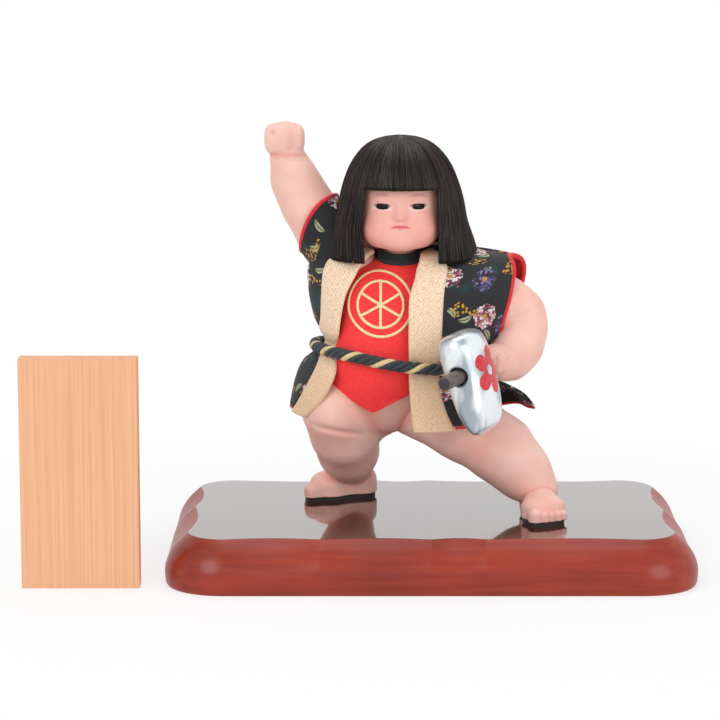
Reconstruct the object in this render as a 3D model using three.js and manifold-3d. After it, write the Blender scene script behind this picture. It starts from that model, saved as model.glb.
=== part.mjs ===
// A festival doll of a sturdy child on a lacquered stand: one fist raised, an axe in the other hand,
// with a bib, an open short coat, a rope belt and, beside the stand, a small wooden name board.
// Millimetres, +Z up. The origin is the middle of the stand's underside and the doll faces -Y.

import * as THREE from 'three';
import { ConvexGeometry } from 'three/addons/geometries/ConvexGeometry.js';
import * as BufferGeometryUtils from 'three/addons/utils/BufferGeometryUtils.js';
import Module from 'manifold-3d';

// Stand
const standWidth = 360;
const standDepth = 225;
const standHeight = 35;
const standCornerRadius = 40;
const standTopInset = 16;
const scoopDepth = 4;
// Height, inset and depth of the carved scoops at each level of the stand's edge
const standLevelShares = [
  [0, 0.19, 0],
  [0.1, 0.05, 0],
  [0.31, 0, 0],
  [0.51, 0.22, 0.3],
  [0.74, 0.56, 0.85],
  [0.91, 0.85, 1],
  [1, 1, 1],
];
const frontScoopShares = [0, 0.233, 0.497, 0.629, 1];
const sideScoopShares = [0, 0.46, 1];
const feltThickness = 1.2;
const feltInset = 9;

// Figure: shares of its height, from the stand's top up
const figureHeight = 270;
const clearance = 0.3;
const overrun = 2;
const padThickness = 2.6;
const padMargin = 1;
const pegRadius = 2.5;
const pegDepthInStand = 14;
const pegDepthInFoot = 13;
const neckPegRadius = 5;
const neckPegDepthInTorso = 22;
const neckPegDepthInHead = 24;
const headGap = 1.2;
const headTurn = THREE.MathUtils.degToRad(5);
const headTurnSteps = 6;
const footLength = 56;
const eyeWidth = 9;
const eyeHeight = 3.6;
const eyeDepth = 4.4;

// Clothes
const coatThickness = 1.8;
const lapelProud = 1.6;
const coatGap = 1;
const collarProud = 2.5;
const coatFoldDepth = 2.2;
const coatFoldCount = 9;
const hemGap = 0.9;
const bindingRadius = 1.5;
const hemRadius = 1;
const bibThickness = 1.2;
const bibGap = 1;
const stitchRadius = 1;
const neckBandThickness = 2.4;
const neckBandHeight = 9;
const ropeRadius = 4.5;
const ropeGap = 1.1;
const knotProud = 2.5;
const knotShares = [2.3, 1.5, 1.9];

// Axe, with its own directions: along the handle to the tip, and from the poll to the edge
const axeLength = 75;
const axeHandleRadius = 4.2;
const axeHandleLength = 90;
const axeHandleTip = 23;
const axeEyeRecess = 7;
const axeEyeRadius = 6.2;
const fistAlongHandle = 61;
const axeHandleDirection = new THREE.Vector3(-0.43, -0.9, -0.05).normalize();
const axeEdgeDirection = new THREE.Vector3(0.27, -0.0757, -0.96).normalize();
const axeCrestRadius = 15;
const axeCrestDepth = 0.8;

// Name board
const boardWidth = 79;
const boardHeight = 156;
const boardThickness = 14;
const boardEdge = 0.6;
const boardGap = 16;
const boardFrontY = -90;

// The torso's skin: height, slope, bow, right side, left side, front and back of each row
const torsoShares = [
  [0.195, 0, 0, -0.15, -0.1, 0.0, 0.05],
  [0.215, 0, 0, -0.19, -0.06, -0.05, 0.08],
  [0.26, 0, 0, -0.245, -0.005, -0.09, 0.115],
  [0.33, 0, 0, -0.268, 0.032, -0.128, 0.125],
  [0.39, 0, 0, -0.261, 0.039, -0.142, 0.122],
  [0.45, 0, 0, -0.243, 0.035, -0.138, 0.114],
  [0.51, 0, 0, -0.231, 0.031, -0.122, 0.108],
  [0.57, 0, 0, -0.238, 0.04, -0.1, 0.1],
  [0.612, 0, 0, -0.212, 0.04, -0.074, 0.088],
  [0.638, 0, 0, -0.15, -0.004, -0.047, 0.07],
  [0.65, 0, 0, -0.126, -0.028, -0.03, 0.06],
  [0.665, 0, 0, -0.122, -0.032, -0.027, 0.057],
  [0.695, 0, 0, -0.12, -0.034, -0.025, 0.055],
];

const headShares = [
  [0.686, 0, 0, -0.107, -0.047, -0.1, -0.01],
  [0.6915, 0, 0, -0.123, -0.031, -0.114, 0.015],
  [0.703, 0, 0, -0.141, -0.013, -0.124, 0.045],
  [0.722, 0, 0, -0.161, 0.007, -0.131, 0.075],
  [0.75, 0, 0, -0.178, 0.024, -0.134, 0.096],
  [0.79, 0, 0, -0.19, 0.036, -0.133, 0.105],
  [0.83, 0, 0, -0.19, 0.036, -0.132, 0.11],
  [0.87, 0, 0, -0.183, 0.029, -0.124, 0.108],
  [0.905, 0, 0, -0.166, 0.012, -0.102, 0.092],
  [0.93, 0, 0, -0.14, -0.014, -0.068, 0.062],
  [0.943, 0, 0, -0.105, -0.049, -0.03, 0.028],
];

const neckAxisShare = [-0.077, 0.02, 0.686];
const eyeHeightShare = 0.8;
const eyeShares = { right: -0.124, left: -0.032 };
const noseShares = { height: 0.767, radii: [0.012, 0.011, 0.011] };

const hairShares = [
  [0.645, 0, 0, -0.262, 0.124, -0.142, 0.165],
  [0.7, 0, 0, -0.255, 0.111, -0.148, 0.168],
  [0.75, 0, 0, -0.243, 0.093, -0.155, 0.17],
  [0.8, 0, 0, -0.23, 0.083, -0.158, 0.168],
  [0.85, 0, 0, -0.218, 0.069, -0.152, 0.16],
  [0.9, 0, 0, -0.198, 0.047, -0.132, 0.14],
  [0.94, 0, 0, -0.165, 0.012, -0.092, 0.1],
  [0.96, 0, 0, -0.125, -0.028, -0.045, 0.05],
  [0.967, 0, 0, -0.09, -0.064, -0.012, 0.014],
];

// The face window's outline seen from the front, and how deep it and the neck hollow go
const faceWindowShares = [
  [-0.17, 0.55],
  [0.022, 0.55],
  [0.0175, 0.843],
  [-0.166, 0.843],
];
const windowFrontShare = -0.25;
const windowBackShare = -0.02;
const neckHollowShares = { low: [-0.17, -0.06, 0.5], high: [0.015, 0.09, 0.72] };

// The coat's outer skin, from the neck down to the hem
const coatShares = [
  [0.662, 0, 0.02, -0.16, 0.006, -0.07, 0.085],
  [0.655, 0, 0.03, -0.205, 0.08, -0.09, 0.105],
  [0.64, 0, 0.025, -0.272, 0.205, -0.105, 0.118],
  [0.615, 0, 0.02, -0.31, 0.252, -0.122, 0.125],
  [0.57, 0, 0, -0.312, 0.25, -0.142, 0.135],
  [0.5, -0.05, 0, -0.3, 0.215, -0.156, 0.14],
  [0.45, -0.13, 0, -0.286, 0.18, -0.163, 0.142],
  [0.405, -0.2, 0, -0.266, 0.15, -0.156, 0.136],
  [0.378, -0.18, 0, -0.285, 0.16, -0.16, 0.141],
  [0.345, -0.12, 0.01, -0.325, 0.2, -0.172, 0.158],
  [0.3, -0.06, 0.018, -0.348, 0.246, -0.18, 0.178],
  [0.248, -0.01, 0.022, -0.36, 0.274, -0.185, 0.195],
];
const coatMiddleShare = 0.03;
const ropeRowCount = 7;

// Inner and outer edge of each lapel at the coat's rows
const rightLapelShares = [
  [-0.142, -0.156],
  [-0.156, -0.195],
  [-0.174, -0.25],
  [-0.19, -0.272],
  [-0.2155, -0.277],
  [-0.229, -0.278],
  [-0.2335, -0.28],
  [-0.236, -0.264],
  [-0.238, -0.276],
  [-0.242, -0.292],
  [-0.268, -0.32],
  [-0.318, -0.353],
];
const leftLapelShares = [
  [-0.026, 0],
  [-0.03, 0.032],
  [-0.036, 0.042],
  [-0.042, 0.038],
  [-0.055, 0.032],
  [-0.057, 0.028],
  [-0.057, 0.026],
  [-0.056, 0.023],
  [-0.056, 0.021],
  [-0.055, 0.024],
  [-0.051, 0.038],
  [-0.044, 0.06],
];
const leftFrontEdgeShares = [[1], [1], [1], [1], [1], [1], [1], [1], [0.95], [0.8], [0.62], [0.48]];
const collarShare = 0.1;
// The slanted edge of the right sleeve: its top, its underside and the middle of its front
const sleeveEdgeShares = [
  [-0.243, 0.05, 0.806],
  [-0.325, 0.06, 0.672],
  [-0.304, -0.025, 0.739],
];
// Where the left armhole lies down the coat, and how far it reaches up and down
const armholeDownShare = 0.355;
const armholeReachShare = 0.173;
const armholeAngle = THREE.MathUtils.degToRad(27);
const armholeMiddle = THREE.MathUtils.degToRad(80);

// The bib's left and right edges from the neck down to its point
const bibShares = [
  [0.638, -0.138, -0.034],
  [0.62, -0.166, -0.02],
  [0.59, -0.2, -0.006],
  [0.52, -0.236, 0.0],
  [0.44, -0.252, 0.008],
  [0.38, -0.256, 0.004],
  [0.342, -0.252, -0.02],
  [0.312, -0.2, -0.088],
  [0.286, -0.15, -0.138],
];
const crestShare = [-0.126, 0.548];
const starShare = 0.72;
const crestRingShare = 0.082;
const starRayCount = 3;

// Limbs: place and radius along each
const rightArmShares = [
  [-0.14, 0.03, 0.55, 0.062],
  [-0.217, 0.05, 0.649, 0.072],
  [-0.276, 0.062, 0.721, 0.071],
  [-0.322, 0.062, 0.789, 0.066],
  [-0.35, 0.06, 0.848, 0.06],
  [-0.364, 0.058, 0.896, 0.044],
];
const rightFistPlaceShares = [-0.368, 0.056, 0.948];
const rightFistRadiiShares = [0.044, 0.038, 0.042];
// The raised fist from its middle: across, top and bottom of each finger, then the thumb's points
const rightFingerShares = [
  [-0.036, 0.03, -0.006],
  [-0.013, 0.034, -0.008],
  [0.01, 0.033, -0.008],
  [0.031, 0.028, -0.004],
];
const rightFingerFrontShares = [-0.016, -0.034, -0.03];
const rightThumbShares = [
  [0.036, -0.018, -0.03],
  [0.014, -0.036, -0.024],
  [-0.01, -0.038, -0.02],
];
const fingerRadius = 3.4;
const thumbRadius = 3.8;
const leftArmShares = [
  [-0.02, 0.02, 0.56, 0.056],
  [0.1, 0.012, 0.58, 0.056],
  [0.194, 0.004, 0.545, 0.057],
  [0.232, -0.004, 0.512, 0.0575],
  [0.238, -0.012, 0.472, 0.0565],
  [0.226, -0.035, 0.43, 0.056],
  [0.203, -0.065, 0.403, 0.048],
  [0.178, -0.095, 0.39, 0.036],
];
const leftFistRadiusShare = 0.038;
const leftFingerShares = [-0.75, -0.25, 0.25, 0.72];
const leftKnuckleAngles = [-60, -10, 40, 90].map((angle) => THREE.MathUtils.degToRad(angle));
const knuckleReachShare = 0.78;
const rightThighShares = [
  [-0.15, 0.03, 0.285, 0.105],
  [-0.235, -0.02, 0.27, 0.088],
];
const rightShinShares = [
  [-0.235, -0.02, 0.27, 0.088],
  [-0.22, 0.022, 0.198, 0.083],
  [-0.21, 0.085, 0.138, 0.075],
  [-0.203, 0.152, 0.083, 0.064],
];
const leftThighShares = [
  [-0.03, 0.02, 0.285, 0.098],
  [0.094, -0.03, 0.231, 0.095],
  [0.188, -0.048, 0.172, 0.091],
  [0.238, -0.056, 0.113, 0.071],
  [0.282, -0.068, 0.067, 0.05],
];

// A foot in shares of its length: forward from the heel, to the big toe's side, up, and the radius
const footShares = [
  [0.2, 0, 0.2, 0.2],
  [0.45, 0, 0.2, 0.19],
];
const ballShare = { place: [0.64, 0.01, 0.13], radii: [0.22, 0.25, 0.16] };
const toeShares = [
  [0.88, 0.155, 0.085, 0.088],
  [0.885, 0.055, 0.07, 0.066],
  [0.86, -0.03, 0.065, 0.062],
  [0.83, -0.105, 0.06, 0.058],
  [0.78, -0.175, 0.055, 0.055],
];
const toeRootShare = 0.9;
const pegForwardShare = 0.36;
const rightFoot = { heelShare: [-0.136, 0.181], forward: new THREE.Vector2(-0.955, -0.297), bigToeSide: 1 };
const leftFoot = { heelShare: [0.266, -0.018], forward: new THREE.Vector2(0.17, -0.985), bigToeSide: -1 };

// Sections of the axe head along its length: half thickness, front and back, in shares of its length
const axeHeadShares = [
  [-0.35, 0.06, 0.14, 0.41],
  [-0.335, 0.105, 0.07, 0.48],
  [-0.29, 0.146, 0.022, 0.53],
  [-0.19, 0.17, 0, 0.548],
  [0.05, 0.178, -0.006, 0.556],
  [0.21, 0.17, -0.014, 0.565],
  [0.36, 0.146, -0.02, 0.572],
  [0.47, 0.108, -0.008, 0.566],
  [0.535, 0.066, 0.03, 0.535],
  [0.56, 0.03, 0.1, 0.46],
];
const axeEyeShare = [0.061, -0.3185, 0.4];
const axeHeadSquareness = 0.72;
const axeMarkDown = 2;

const wasm = await Module();
wasm.setup();

const colours = {
  lacquer: new THREE.MeshStandardMaterial({ color: 0x93392a, roughness: 0.12, metalness: 0 }),
  felt: new THREE.MeshStandardMaterial({ color: 0x2c3b30, roughness: 0.95, metalness: 0 }),
  skin: new THREE.MeshStandardMaterial({ color: 0xf0bfae, roughness: 0.6, metalness: 0 }),
  pad: new THREE.MeshStandardMaterial({ color: 0x15100f, roughness: 0.7, metalness: 0 }),
  dowel: new THREE.MeshStandardMaterial({ color: 0xc9a06f, roughness: 0.7, metalness: 0 }),
  eye: new THREE.MeshStandardMaterial({ color: 0x150904, roughness: 0.08, metalness: 0 }),
  hair: new THREE.MeshStandardMaterial({ color: 0x2b211e, roughness: 0.5, metalness: 0 }),
  bib: new THREE.MeshStandardMaterial({ color: 0xe63434, roughness: 0.9, metalness: 0 }),
  gold: new THREE.MeshStandardMaterial({ color: 0xeed9a0, roughness: 0.6, metalness: 0.1 }),
  band: new THREE.MeshStandardMaterial({ color: 0x1e2a30, roughness: 0.8, metalness: 0 }),
  brocade: new THREE.MeshStandardMaterial({ color: 0x22252a, roughness: 0.8, metalness: 0 }),
  cream: new THREE.MeshStandardMaterial({ color: 0xebcba0, roughness: 0.75, metalness: 0 }),
  red: new THREE.MeshStandardMaterial({ color: 0xd8202a, roughness: 0.7, metalness: 0 }),
  rope: new THREE.MeshStandardMaterial({ color: 0x172024, roughness: 0.6, metalness: 0 }),
  silver: new THREE.MeshStandardMaterial({ color: 0xd4d8dc, roughness: 0.3, metalness: 0.7 }),
  handle: new THREE.MeshStandardMaterial({ color: 0x4a4244, roughness: 0.6, metalness: 0 }),
  wood: new THREE.MeshStandardMaterial({ color: 0xe3ae84, roughness: 0.7, metalness: 0 }),
};

const doll = new THREE.Group();
const fullTurn = 2 * Math.PI;
const quarter = Math.PI / 2;
const upright = new THREE.Vector3(0, 0, 1);

const place = (x, y, z) => new THREE.Vector3(
  x * figureHeight,
  y * figureHeight,
  standHeight + z * figureHeight,
);

// Turns a closed geometry into a solid that can be joined and cut.
function toSolid(geometry) {
  const bare = geometry.clone();
  bare.deleteAttribute('normal');
  bare.deleteAttribute('uv');
  const merged = BufferGeometryUtils.mergeVertices(bare);
  const vertProperties = new Float32Array(merged.attributes.position.array);
  const triVerts = new Uint32Array(merged.index.array);
  return new wasm.Manifold(new wasm.Mesh({ numProp: 3, vertProperties, triVerts }));
}

function toGeometry(solid) {
  const mesh = solid.getMesh();
  const geometry = new THREE.BufferGeometry();
  geometry.setAttribute('position', new THREE.BufferAttribute(new Float32Array(mesh.vertProperties), 3));
  geometry.setIndex(new THREE.BufferAttribute(new Uint32Array(mesh.triVerts), 1));
  geometry.computeVertexNormals();
  return geometry;
}

function addPiece(name, solid, material) {
  const mesh = new THREE.Mesh(toGeometry(solid), material);
  mesh.name = name;
  doll.add(mesh);
}

const listOf = (count, itemAt) => [...Array(count).keys()].map(itemAt);

function joinAll(solids) {
  return solids.reduce((whole, solid) => whole.add(solid));
}

// The largest body of a solid, where a cut leaves a crumb beside it.
function mainPart(solid) {
  const parts = solid.decompose();
  return parts.reduce((best, part) => (part.volume() > best.volume() ? part : best));
}

// Faces between rows of points; each row is closed, and the first and last rows are capped.
function loftSolid(rows) {
  const count = rows[0].length;
  const points = rows.flat();
  const faces = [];
  for (let row = 0; row + 1 < rows.length; row++) {
    for (let i = 0; i < count; i++) {
      const a = row * count + i;
      const b = row * count + ((i + 1) % count);
      faces.push(a, b, b + count, a, b + count, a + count);
    }
  }
  const middleOf = (row) => row.reduce((sum, p) => sum.add(p), new THREE.Vector3()).divideScalar(count);
  points.push(middleOf(rows[0]), middleOf(rows[rows.length - 1]));
  const lastRow = (rows.length - 1) * count;
  for (let i = 0; i < count; i++) {
    const next = (i + 1) % count;
    faces.push(points.length - 2, next, i);
    faces.push(points.length - 1, lastRow + i, lastRow + next);
  }
  return solidOf(points, faces);
}

function solidOf(points, faces) {
  const geometry = new THREE.BufferGeometry().setFromPoints(points);
  geometry.setIndex(faces);
  const solid = toSolid(geometry);
  if (solid.volume() > 0) {
    return solid;
  }
  const turned = faces.map((_, i) => faces[i - (i % 3) + 2 - (i % 3)]);
  geometry.setIndex(turned);
  return toSolid(geometry);
}

// A sheet of cloth between an outer and an inner grid of points, closed along its four edges.
function sheetSolid(rowCount, columnCount, pointAt) {
  const points = [];
  const index = (side, row, column) => (side * (rowCount + 1) + row) * (columnCount + 1) + column;
  for (const side of [0, 1]) {
    for (let row = 0; row <= rowCount; row++) {
      for (let column = 0; column <= columnCount; column++) {
        points.push(pointAt(row / rowCount, column / columnCount, side));
      }
    }
  }
  const faces = [];
  const quad = (a, b, c, d) => faces.push(a, b, c, a, c, d);
  for (let row = 0; row < rowCount; row++) {
    for (let column = 0; column < columnCount; column++) {
      const corners = [[row, column], [row, column + 1], [row + 1, column + 1], [row + 1, column]];
      quad(...corners.map((corner) => index(0, ...corner)));
      quad(...corners.reverse().map((corner) => index(1, ...corner)));
    }
  }
  const edge = (from, to) => quad(index(0, ...from), index(0, ...to), index(1, ...to), index(1, ...from));
  for (let row = 0; row < rowCount; row++) {
    edge([row, 0], [row + 1, 0]);
    edge([row + 1, columnCount], [row, columnCount]);
  }
  for (let column = 0; column < columnCount; column++) {
    edge([0, column + 1], [0, column]);
    edge([rowCount, column], [rowCount, column + 1]);
  }
  return solidOf(points, faces);
}

// Values of a table between its rows, on a smooth curve through them.
function between(table, row) {
  const last = table.length - 1;
  const at = THREE.MathUtils.clamp(row, 0, last);
  const i = Math.min(Math.floor(at), last - 1);
  const t = at - i;
  const rows = [table[Math.max(i - 1, 0)], table[i], table[i + 1], table[Math.min(i + 2, last)]];
  return table[i].map((_, column) => {
    const [a, b, c, d] = rows.map((values) => values[column]);
    const slopeIn = (c - a) / 2;
    const slopeOut = (d - b) / 2;
    return (2 * t ** 3 - 3 * t ** 2 + 1) * b + (t ** 3 - 2 * t ** 2 + t) * slopeIn
      + (3 * t ** 2 - 2 * t ** 3) * c + (t ** 3 - t ** 2) * slopeOut;
  });
}

// A skin round an upright middle: a row of its table, an angle from the front, and a distance outward.
function skinOf(table, middleShare) {
  const onSkin = (row, angle) => {
    const [z, slope, bow, right, left, front, back] = between(table, row);
    const x = (right + left) / 2 + ((left - right) / 2) * Math.sin(angle);
    const middle = middleShare ?? (front + back) / 2;
    const reach = Math.cos(angle) > 0 ? middle - front : back - middle;
    const height = z + slope * (x - (right + left) / 2) + bow * Math.sin(angle) ** 2;
    return place(x, middle - reach * Math.cos(angle), height);
  };
  const step = 0.02;
  const rises = table[table.length - 1][0] > table[0][0];
  const skin = (row, angle, distance = 0) => {
    const point = onSkin(row, angle);
    if (distance === 0) {
      return point;
    }
    const lower = Math.max(row - step, 0);
    const upper = Math.min(row + step, table.length - 1);
    const along = onSkin(upper, angle).sub(onSkin(lower, angle));
    const around = onSkin(row, angle + step).sub(onSkin(row, angle - step));
    const normal = around.cross(along).normalize();
    return point.addScaledVector(normal, rises ? distance : -distance);
  };
  return skin;
}

function angleAt(table, row, x) {
  const [, , , right, left] = between(table, row);
  return Math.asin(THREE.MathUtils.clamp((x - (right + left) / 2) / ((left - right) / 2), -1, 1));
}

// The row of a skin whose table reaches a height.
function rowAt(table, height) {
  for (let row = 0; row + 1 < table.length; row++) {
    const [low, high] = [table[row][0], table[row + 1][0]];
    if (height <= Math.max(low, high) && height >= Math.min(low, high)) {
      return row + (height - low) / (high - low);
    }
  }
  return height < table[0][0] ? 0 : table.length - 1;
}

function skinSolid(skin, table, sides, rowsPerShare, distance = 0) {
  const rows = [];
  const count = Math.round((table.length - 1) * rowsPerShare);
  for (let i = 0; i <= count; i++) {
    const row = (i / count) * (table.length - 1);
    const ring = [];
    for (let side = 0; side < sides; side++) {
      ring.push(skin(row, (side / sides) * fullTurn, distance));
    }
    rows.push(ring);
  }
  return loftSolid(rows);
}

function ballPoints(centre, radius, around = 9, down = 6) {
  const ball = new THREE.SphereGeometry(radius, around, down);
  ball.rotateX(quarter);
  ball.translate(centre.x, centre.y, centre.z);
  const corners = ball.attributes.position;
  return listOf(corners.count, (i) => new THREE.Vector3().fromBufferAttribute(corners, i));
}

// A limb: a hull round each two neighbouring balls of a chain, joined.
function chainSolid(stations, extra = 0, around = 9, down = 6) {
  const hulls = [];
  for (let i = 0; i + 1 < stations.length; i++) {
    const points = [stations[i], stations[i + 1]].flatMap(({ centre, radius }) => (
      ballPoints(centre, radius + extra, around, down)
    ));
    hulls.push(toSolid(new ConvexGeometry(points)));
  }
  return joinAll(hulls);
}

// Fingers and toes.
const finger = (points, radius) => chainSolid(points.map((centre) => ({ centre, radius })), 0, 6, 4);

const stationsOf = (table) => table.map(([x, y, z, radius]) => (
  { centre: place(x, y, z), radius: radius * figureHeight }
));

function ellipsoidSolid(centre, radii, turn = new THREE.Quaternion(), around = 12, down = 8) {
  const ball = new THREE.SphereGeometry(1, around, down);
  ball.scale(radii.x, radii.y, radii.z);
  ball.applyQuaternion(turn);
  ball.translate(centre.x, centre.y, centre.z);
  return toSolid(ball);
}

function boxOf(low, high) {
  const box = new THREE.BoxGeometry(high.x - low.x, high.y - low.y, high.z - low.z);
  box.translate((low.x + high.x) / 2, (low.y + high.y) / 2, (low.z + high.z) / 2);
  return toSolid(box);
}

// A rod between two points.
function rodSolid(from, to, radius, sides = 20) {
  const rod = new THREE.CylinderGeometry(radius, radius, from.distanceTo(to), sides);
  const along = to.clone().sub(from).normalize();
  rod.applyQuaternion(new THREE.Quaternion().setFromUnitVectors(new THREE.Vector3(0, 1, 0), along));
  const middle = from.clone().add(to).divideScalar(2);
  rod.translate(middle.x, middle.y, middle.z);
  return toSolid(rod);
}

// A cord along a line of points: closed into a ring, or with flat ends.
function ringCord(points, radius, steps, sides = 8) {
  const curve = new THREE.CatmullRomCurve3(points, true);
  return toSolid(new THREE.TubeGeometry(curve, steps, radius, sides, true));
}

function openCord(points, radius, steps, sides = 8) {
  const curve = new THREE.CatmullRomCurve3(points);
  const section = new THREE.Shape();
  for (let side = 0; side < sides; side++) {
    const angle = (side / sides) * fullTurn;
    const corner = [radius * Math.cos(angle), radius * Math.sin(angle)];
    if (side === 0) {
      section.moveTo(...corner);
    } else {
      section.lineTo(...corner);
    }
  }
  section.closePath();
  return toSolid(new THREE.ExtrudeGeometry(section, { steps, extrudePath: curve }));
}

// Stand: one carved slab, lacquered, with a felt let into its underside and a bore under each foot.
function standRing(inset, scoop, height) {
  const halfWidth = standWidth / 2 - inset;
  const halfDepth = standDepth / 2 - inset;
  const radius = Math.max(standCornerRadius - inset, clearance);
  const ring = [];
  const edge = (from, to, inward, shares, steps) => {
    for (let i = 0; i < steps; i++) {
      const along = i / steps;
      const next = shares.findIndex((share) => share > along);
      const within = (along - shares[next - 1]) / (shares[next] - shares[next - 1]);
      const depth = scoop * Math.sin(Math.PI * within);
      const point = from.clone().lerp(to, along).addScaledVector(inward, depth);
      ring.push(new THREE.Vector3(point.x, point.y, height));
    }
  };
  const corner = (x, y, start) => {
    for (let i = 0; i < 4; i++) {
      const angle = start + (i / 4) * quarter;
      ring.push(new THREE.Vector3(x + radius * Math.cos(angle), y + radius * Math.sin(angle), height));
    }
  };
  const x = halfWidth - radius;
  const y = halfDepth - radius;
  const v = (a, b) => new THREE.Vector2(a, b);
  edge(v(-x, -halfDepth), v(x, -halfDepth), v(0, 1), frontScoopShares, 14);
  corner(x, -y, -quarter);
  edge(v(halfWidth, -y), v(halfWidth, y), v(-1, 0), sideScoopShares, 6);
  corner(x, y, 0);
  edge(v(x, halfDepth), v(-x, halfDepth), v(0, -1), frontScoopShares, 14);
  corner(-x, y, quarter);
  edge(v(-halfWidth, y), v(-halfWidth, -y), v(1, 0), sideScoopShares, 6);
  corner(-x, -y, Math.PI);
  return ring;
}

// A foot's own directions: forward, to the big toe's side, and up from the sole.
const soleHeight = standHeight + padThickness + clearance;
function footPlace(foot, forwardShare, sideShare, upShare) {
  const heel = place(...foot.heelShare, 0);
  const side = new THREE.Vector2(-foot.forward.y, foot.forward.x).multiplyScalar(foot.bigToeSide);
  return new THREE.Vector3(
    heel.x + footLength * (foot.forward.x * forwardShare + side.x * sideShare),
    heel.y + footLength * (foot.forward.y * forwardShare + side.y * sideShare),
    soleHeight + footLength * upShare,
  );
}

function footSolid(foot) {
  const stations = footShares.map(([forward, side, up, radius]) => (
    { centre: footPlace(foot, forward, side, up), radius: radius * footLength }
  ));
  const turn = new THREE.Quaternion().setFromAxisAngle(new THREE.Vector3(0, 0, 1), foot.forward.angle());
  const radii = new THREE.Vector3(...ballShare.radii).multiplyScalar(footLength);
  const ball = ellipsoidSolid(footPlace(foot, ...ballShare.place), radii, turn, 10, 6);
  const toes = toeShares.map(([forward, side, up, radius]) => {
    const root = footPlace(foot, ballShare.place[0], side * toeRootShare, up);
    return finger([root, footPlace(foot, forward, side, up)], radius * footLength);
  });
  return joinAll([chainSolid(stations), ball, ...toes]);
}

// The pegs stand upright between the stand and each foot's heel.
const feet = { right: rightFoot, left: leftFoot };
function pegSolid(foot, extra) {
  const top = footPlace(foot, pegForwardShare, 0, 0);
  const bottom = top.clone().setZ(standHeight - pegDepthInStand - extra);
  top.z = soleHeight + pegDepthInFoot + extra;
  return rodSolid(bottom, top, pegRadius + extra, 16);
}
const pegCutters = joinAll(Object.values(feet).map((foot) => pegSolid(foot, clearance)));

const standLevels = standLevelShares.map(([height, inset, scoop]) => (
  standRing(inset * standTopInset, scoop * scoopDepth, height * standHeight)
));
const feltRecess = loftSolid([
  standRing(feltInset - clearance, 0, -overrun),
  standRing(feltInset - clearance, 0, feltThickness + clearance),
]);
addPiece('stand_board', loftSolid(standLevels).subtract(feltRecess).subtract(pegCutters), colours.lacquer);
const felt = loftSolid([standRing(feltInset, 0, 0), standRing(feltInset, 0, feltThickness)]);
addPiece('stand_felt', felt, colours.felt);

for (const [side, foot] of Object.entries(feet)) {
  const rim = [];
  const circles = [
    [footShares[0][0], 0, footShares[0][3] - padMargin / footLength],
    [ballShare.place[0], 0, ballShare.radii[1]],
  ];
  for (const [forward, sideways, radius] of circles) {
    for (let i = 0; i < 14; i++) {
      const angle = (i / 14) * fullTurn;
      const point = [forward + radius * Math.cos(angle), sideways + radius * Math.sin(angle), 0];
      rim.push(footPlace(foot, ...point));
    }
  }
  for (const [forward, sideways, , radius] of toeShares) {
    rim.push(footPlace(foot, forward + radius, sideways + radius / 2, 0));
    rim.push(footPlace(foot, forward + radius, sideways - radius / 2, 0));
  }
  const pad = rim.flatMap((p) => [p.clone().setZ(standHeight), p.clone().setZ(standHeight + padThickness)]);
  addPiece(`sole_pad_${side}`, toSolid(new ConvexGeometry(pad)).subtract(pegCutters), colours.pad);
  addPiece(`foot_peg_${side}`, pegSolid(foot, 0), colours.dowel);
}

// Head: face and skull in one, a small nose, sockets for the glass eyes and a bore for the neck peg.
const headSkin = skinOf(headShares);
const torsoSkin = skinOf(torsoShares);
const neckAxis = place(...neckAxisShare);
const turned = (solid, angle) => solid
  .translate([-neckAxis.x, -neckAxis.y, 0])
  .rotate([0, 0, THREE.MathUtils.radToDeg(angle)])
  .translate([neckAxis.x, neckAxis.y, 0]);
const swept = (solid) => joinAll(
  listOf(headTurnSteps + 1, (step) => turned(solid, headTurn * (2 * step / headTurnSteps - 1))),
);

function eyeSolid(share, extra) {
  const row = rowAt(headShares, eyeHeightShare);
  const angle = angleAt(headShares, row, share);
  const radii = new THREE.Vector3(eyeWidth / 2 + extra, eyeDepth / 2 + extra, eyeHeight / 2 + extra);
  const turn = new THREE.Quaternion().setFromAxisAngle(upright, angle);
  return ellipsoidSolid(headSkin(row, angle, -eyeDepth / 4), radii, turn, 10, 6);
}
const noseRadii = new THREE.Vector3(...noseShares.radii).multiplyScalar(figureHeight);
const nose = ellipsoidSolid(headSkin(rowAt(headShares, noseShares.height), 0), noseRadii, undefined, 10, 7);

const neckPeg = (extra) => rodSolid(
  neckAxis.clone().setZ(neckAxis.z - neckPegDepthInTorso - extra),
  neckAxis.clone().setZ(neckAxis.z + neckPegDepthInHead + extra),
  neckPegRadius + extra,
  24,
);
const headBlock = (extra) => skinSolid(headSkin, headShares, 20, 1, extra);
const eyeSockets = joinAll(Object.values(eyeShares).map((share) => eyeSolid(share, clearance)));
const head = headBlock(0).add(nose).subtract(eyeSockets).subtract(neckPeg(clearance));
addPiece('head', head, colours.skin);
addPiece('neck_peg', neckPeg(0), colours.dowel);
for (const [side, share] of Object.entries(eyeShares)) {
  addPiece(`eye_${side}`, eyeSolid(share, 0), colours.eye);
}

// Torso: bare belly, hips and a short neck that stays clear of the head as it turns.
const torsoBlock = (extra) => skinSolid(torsoSkin, torsoShares, 20, 1, extra);
const torso = torsoBlock(0).subtract(swept(headBlock(headGap))).subtract(neckPeg(clearance));
addPiece('torso', torso, colours.skin);

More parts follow.
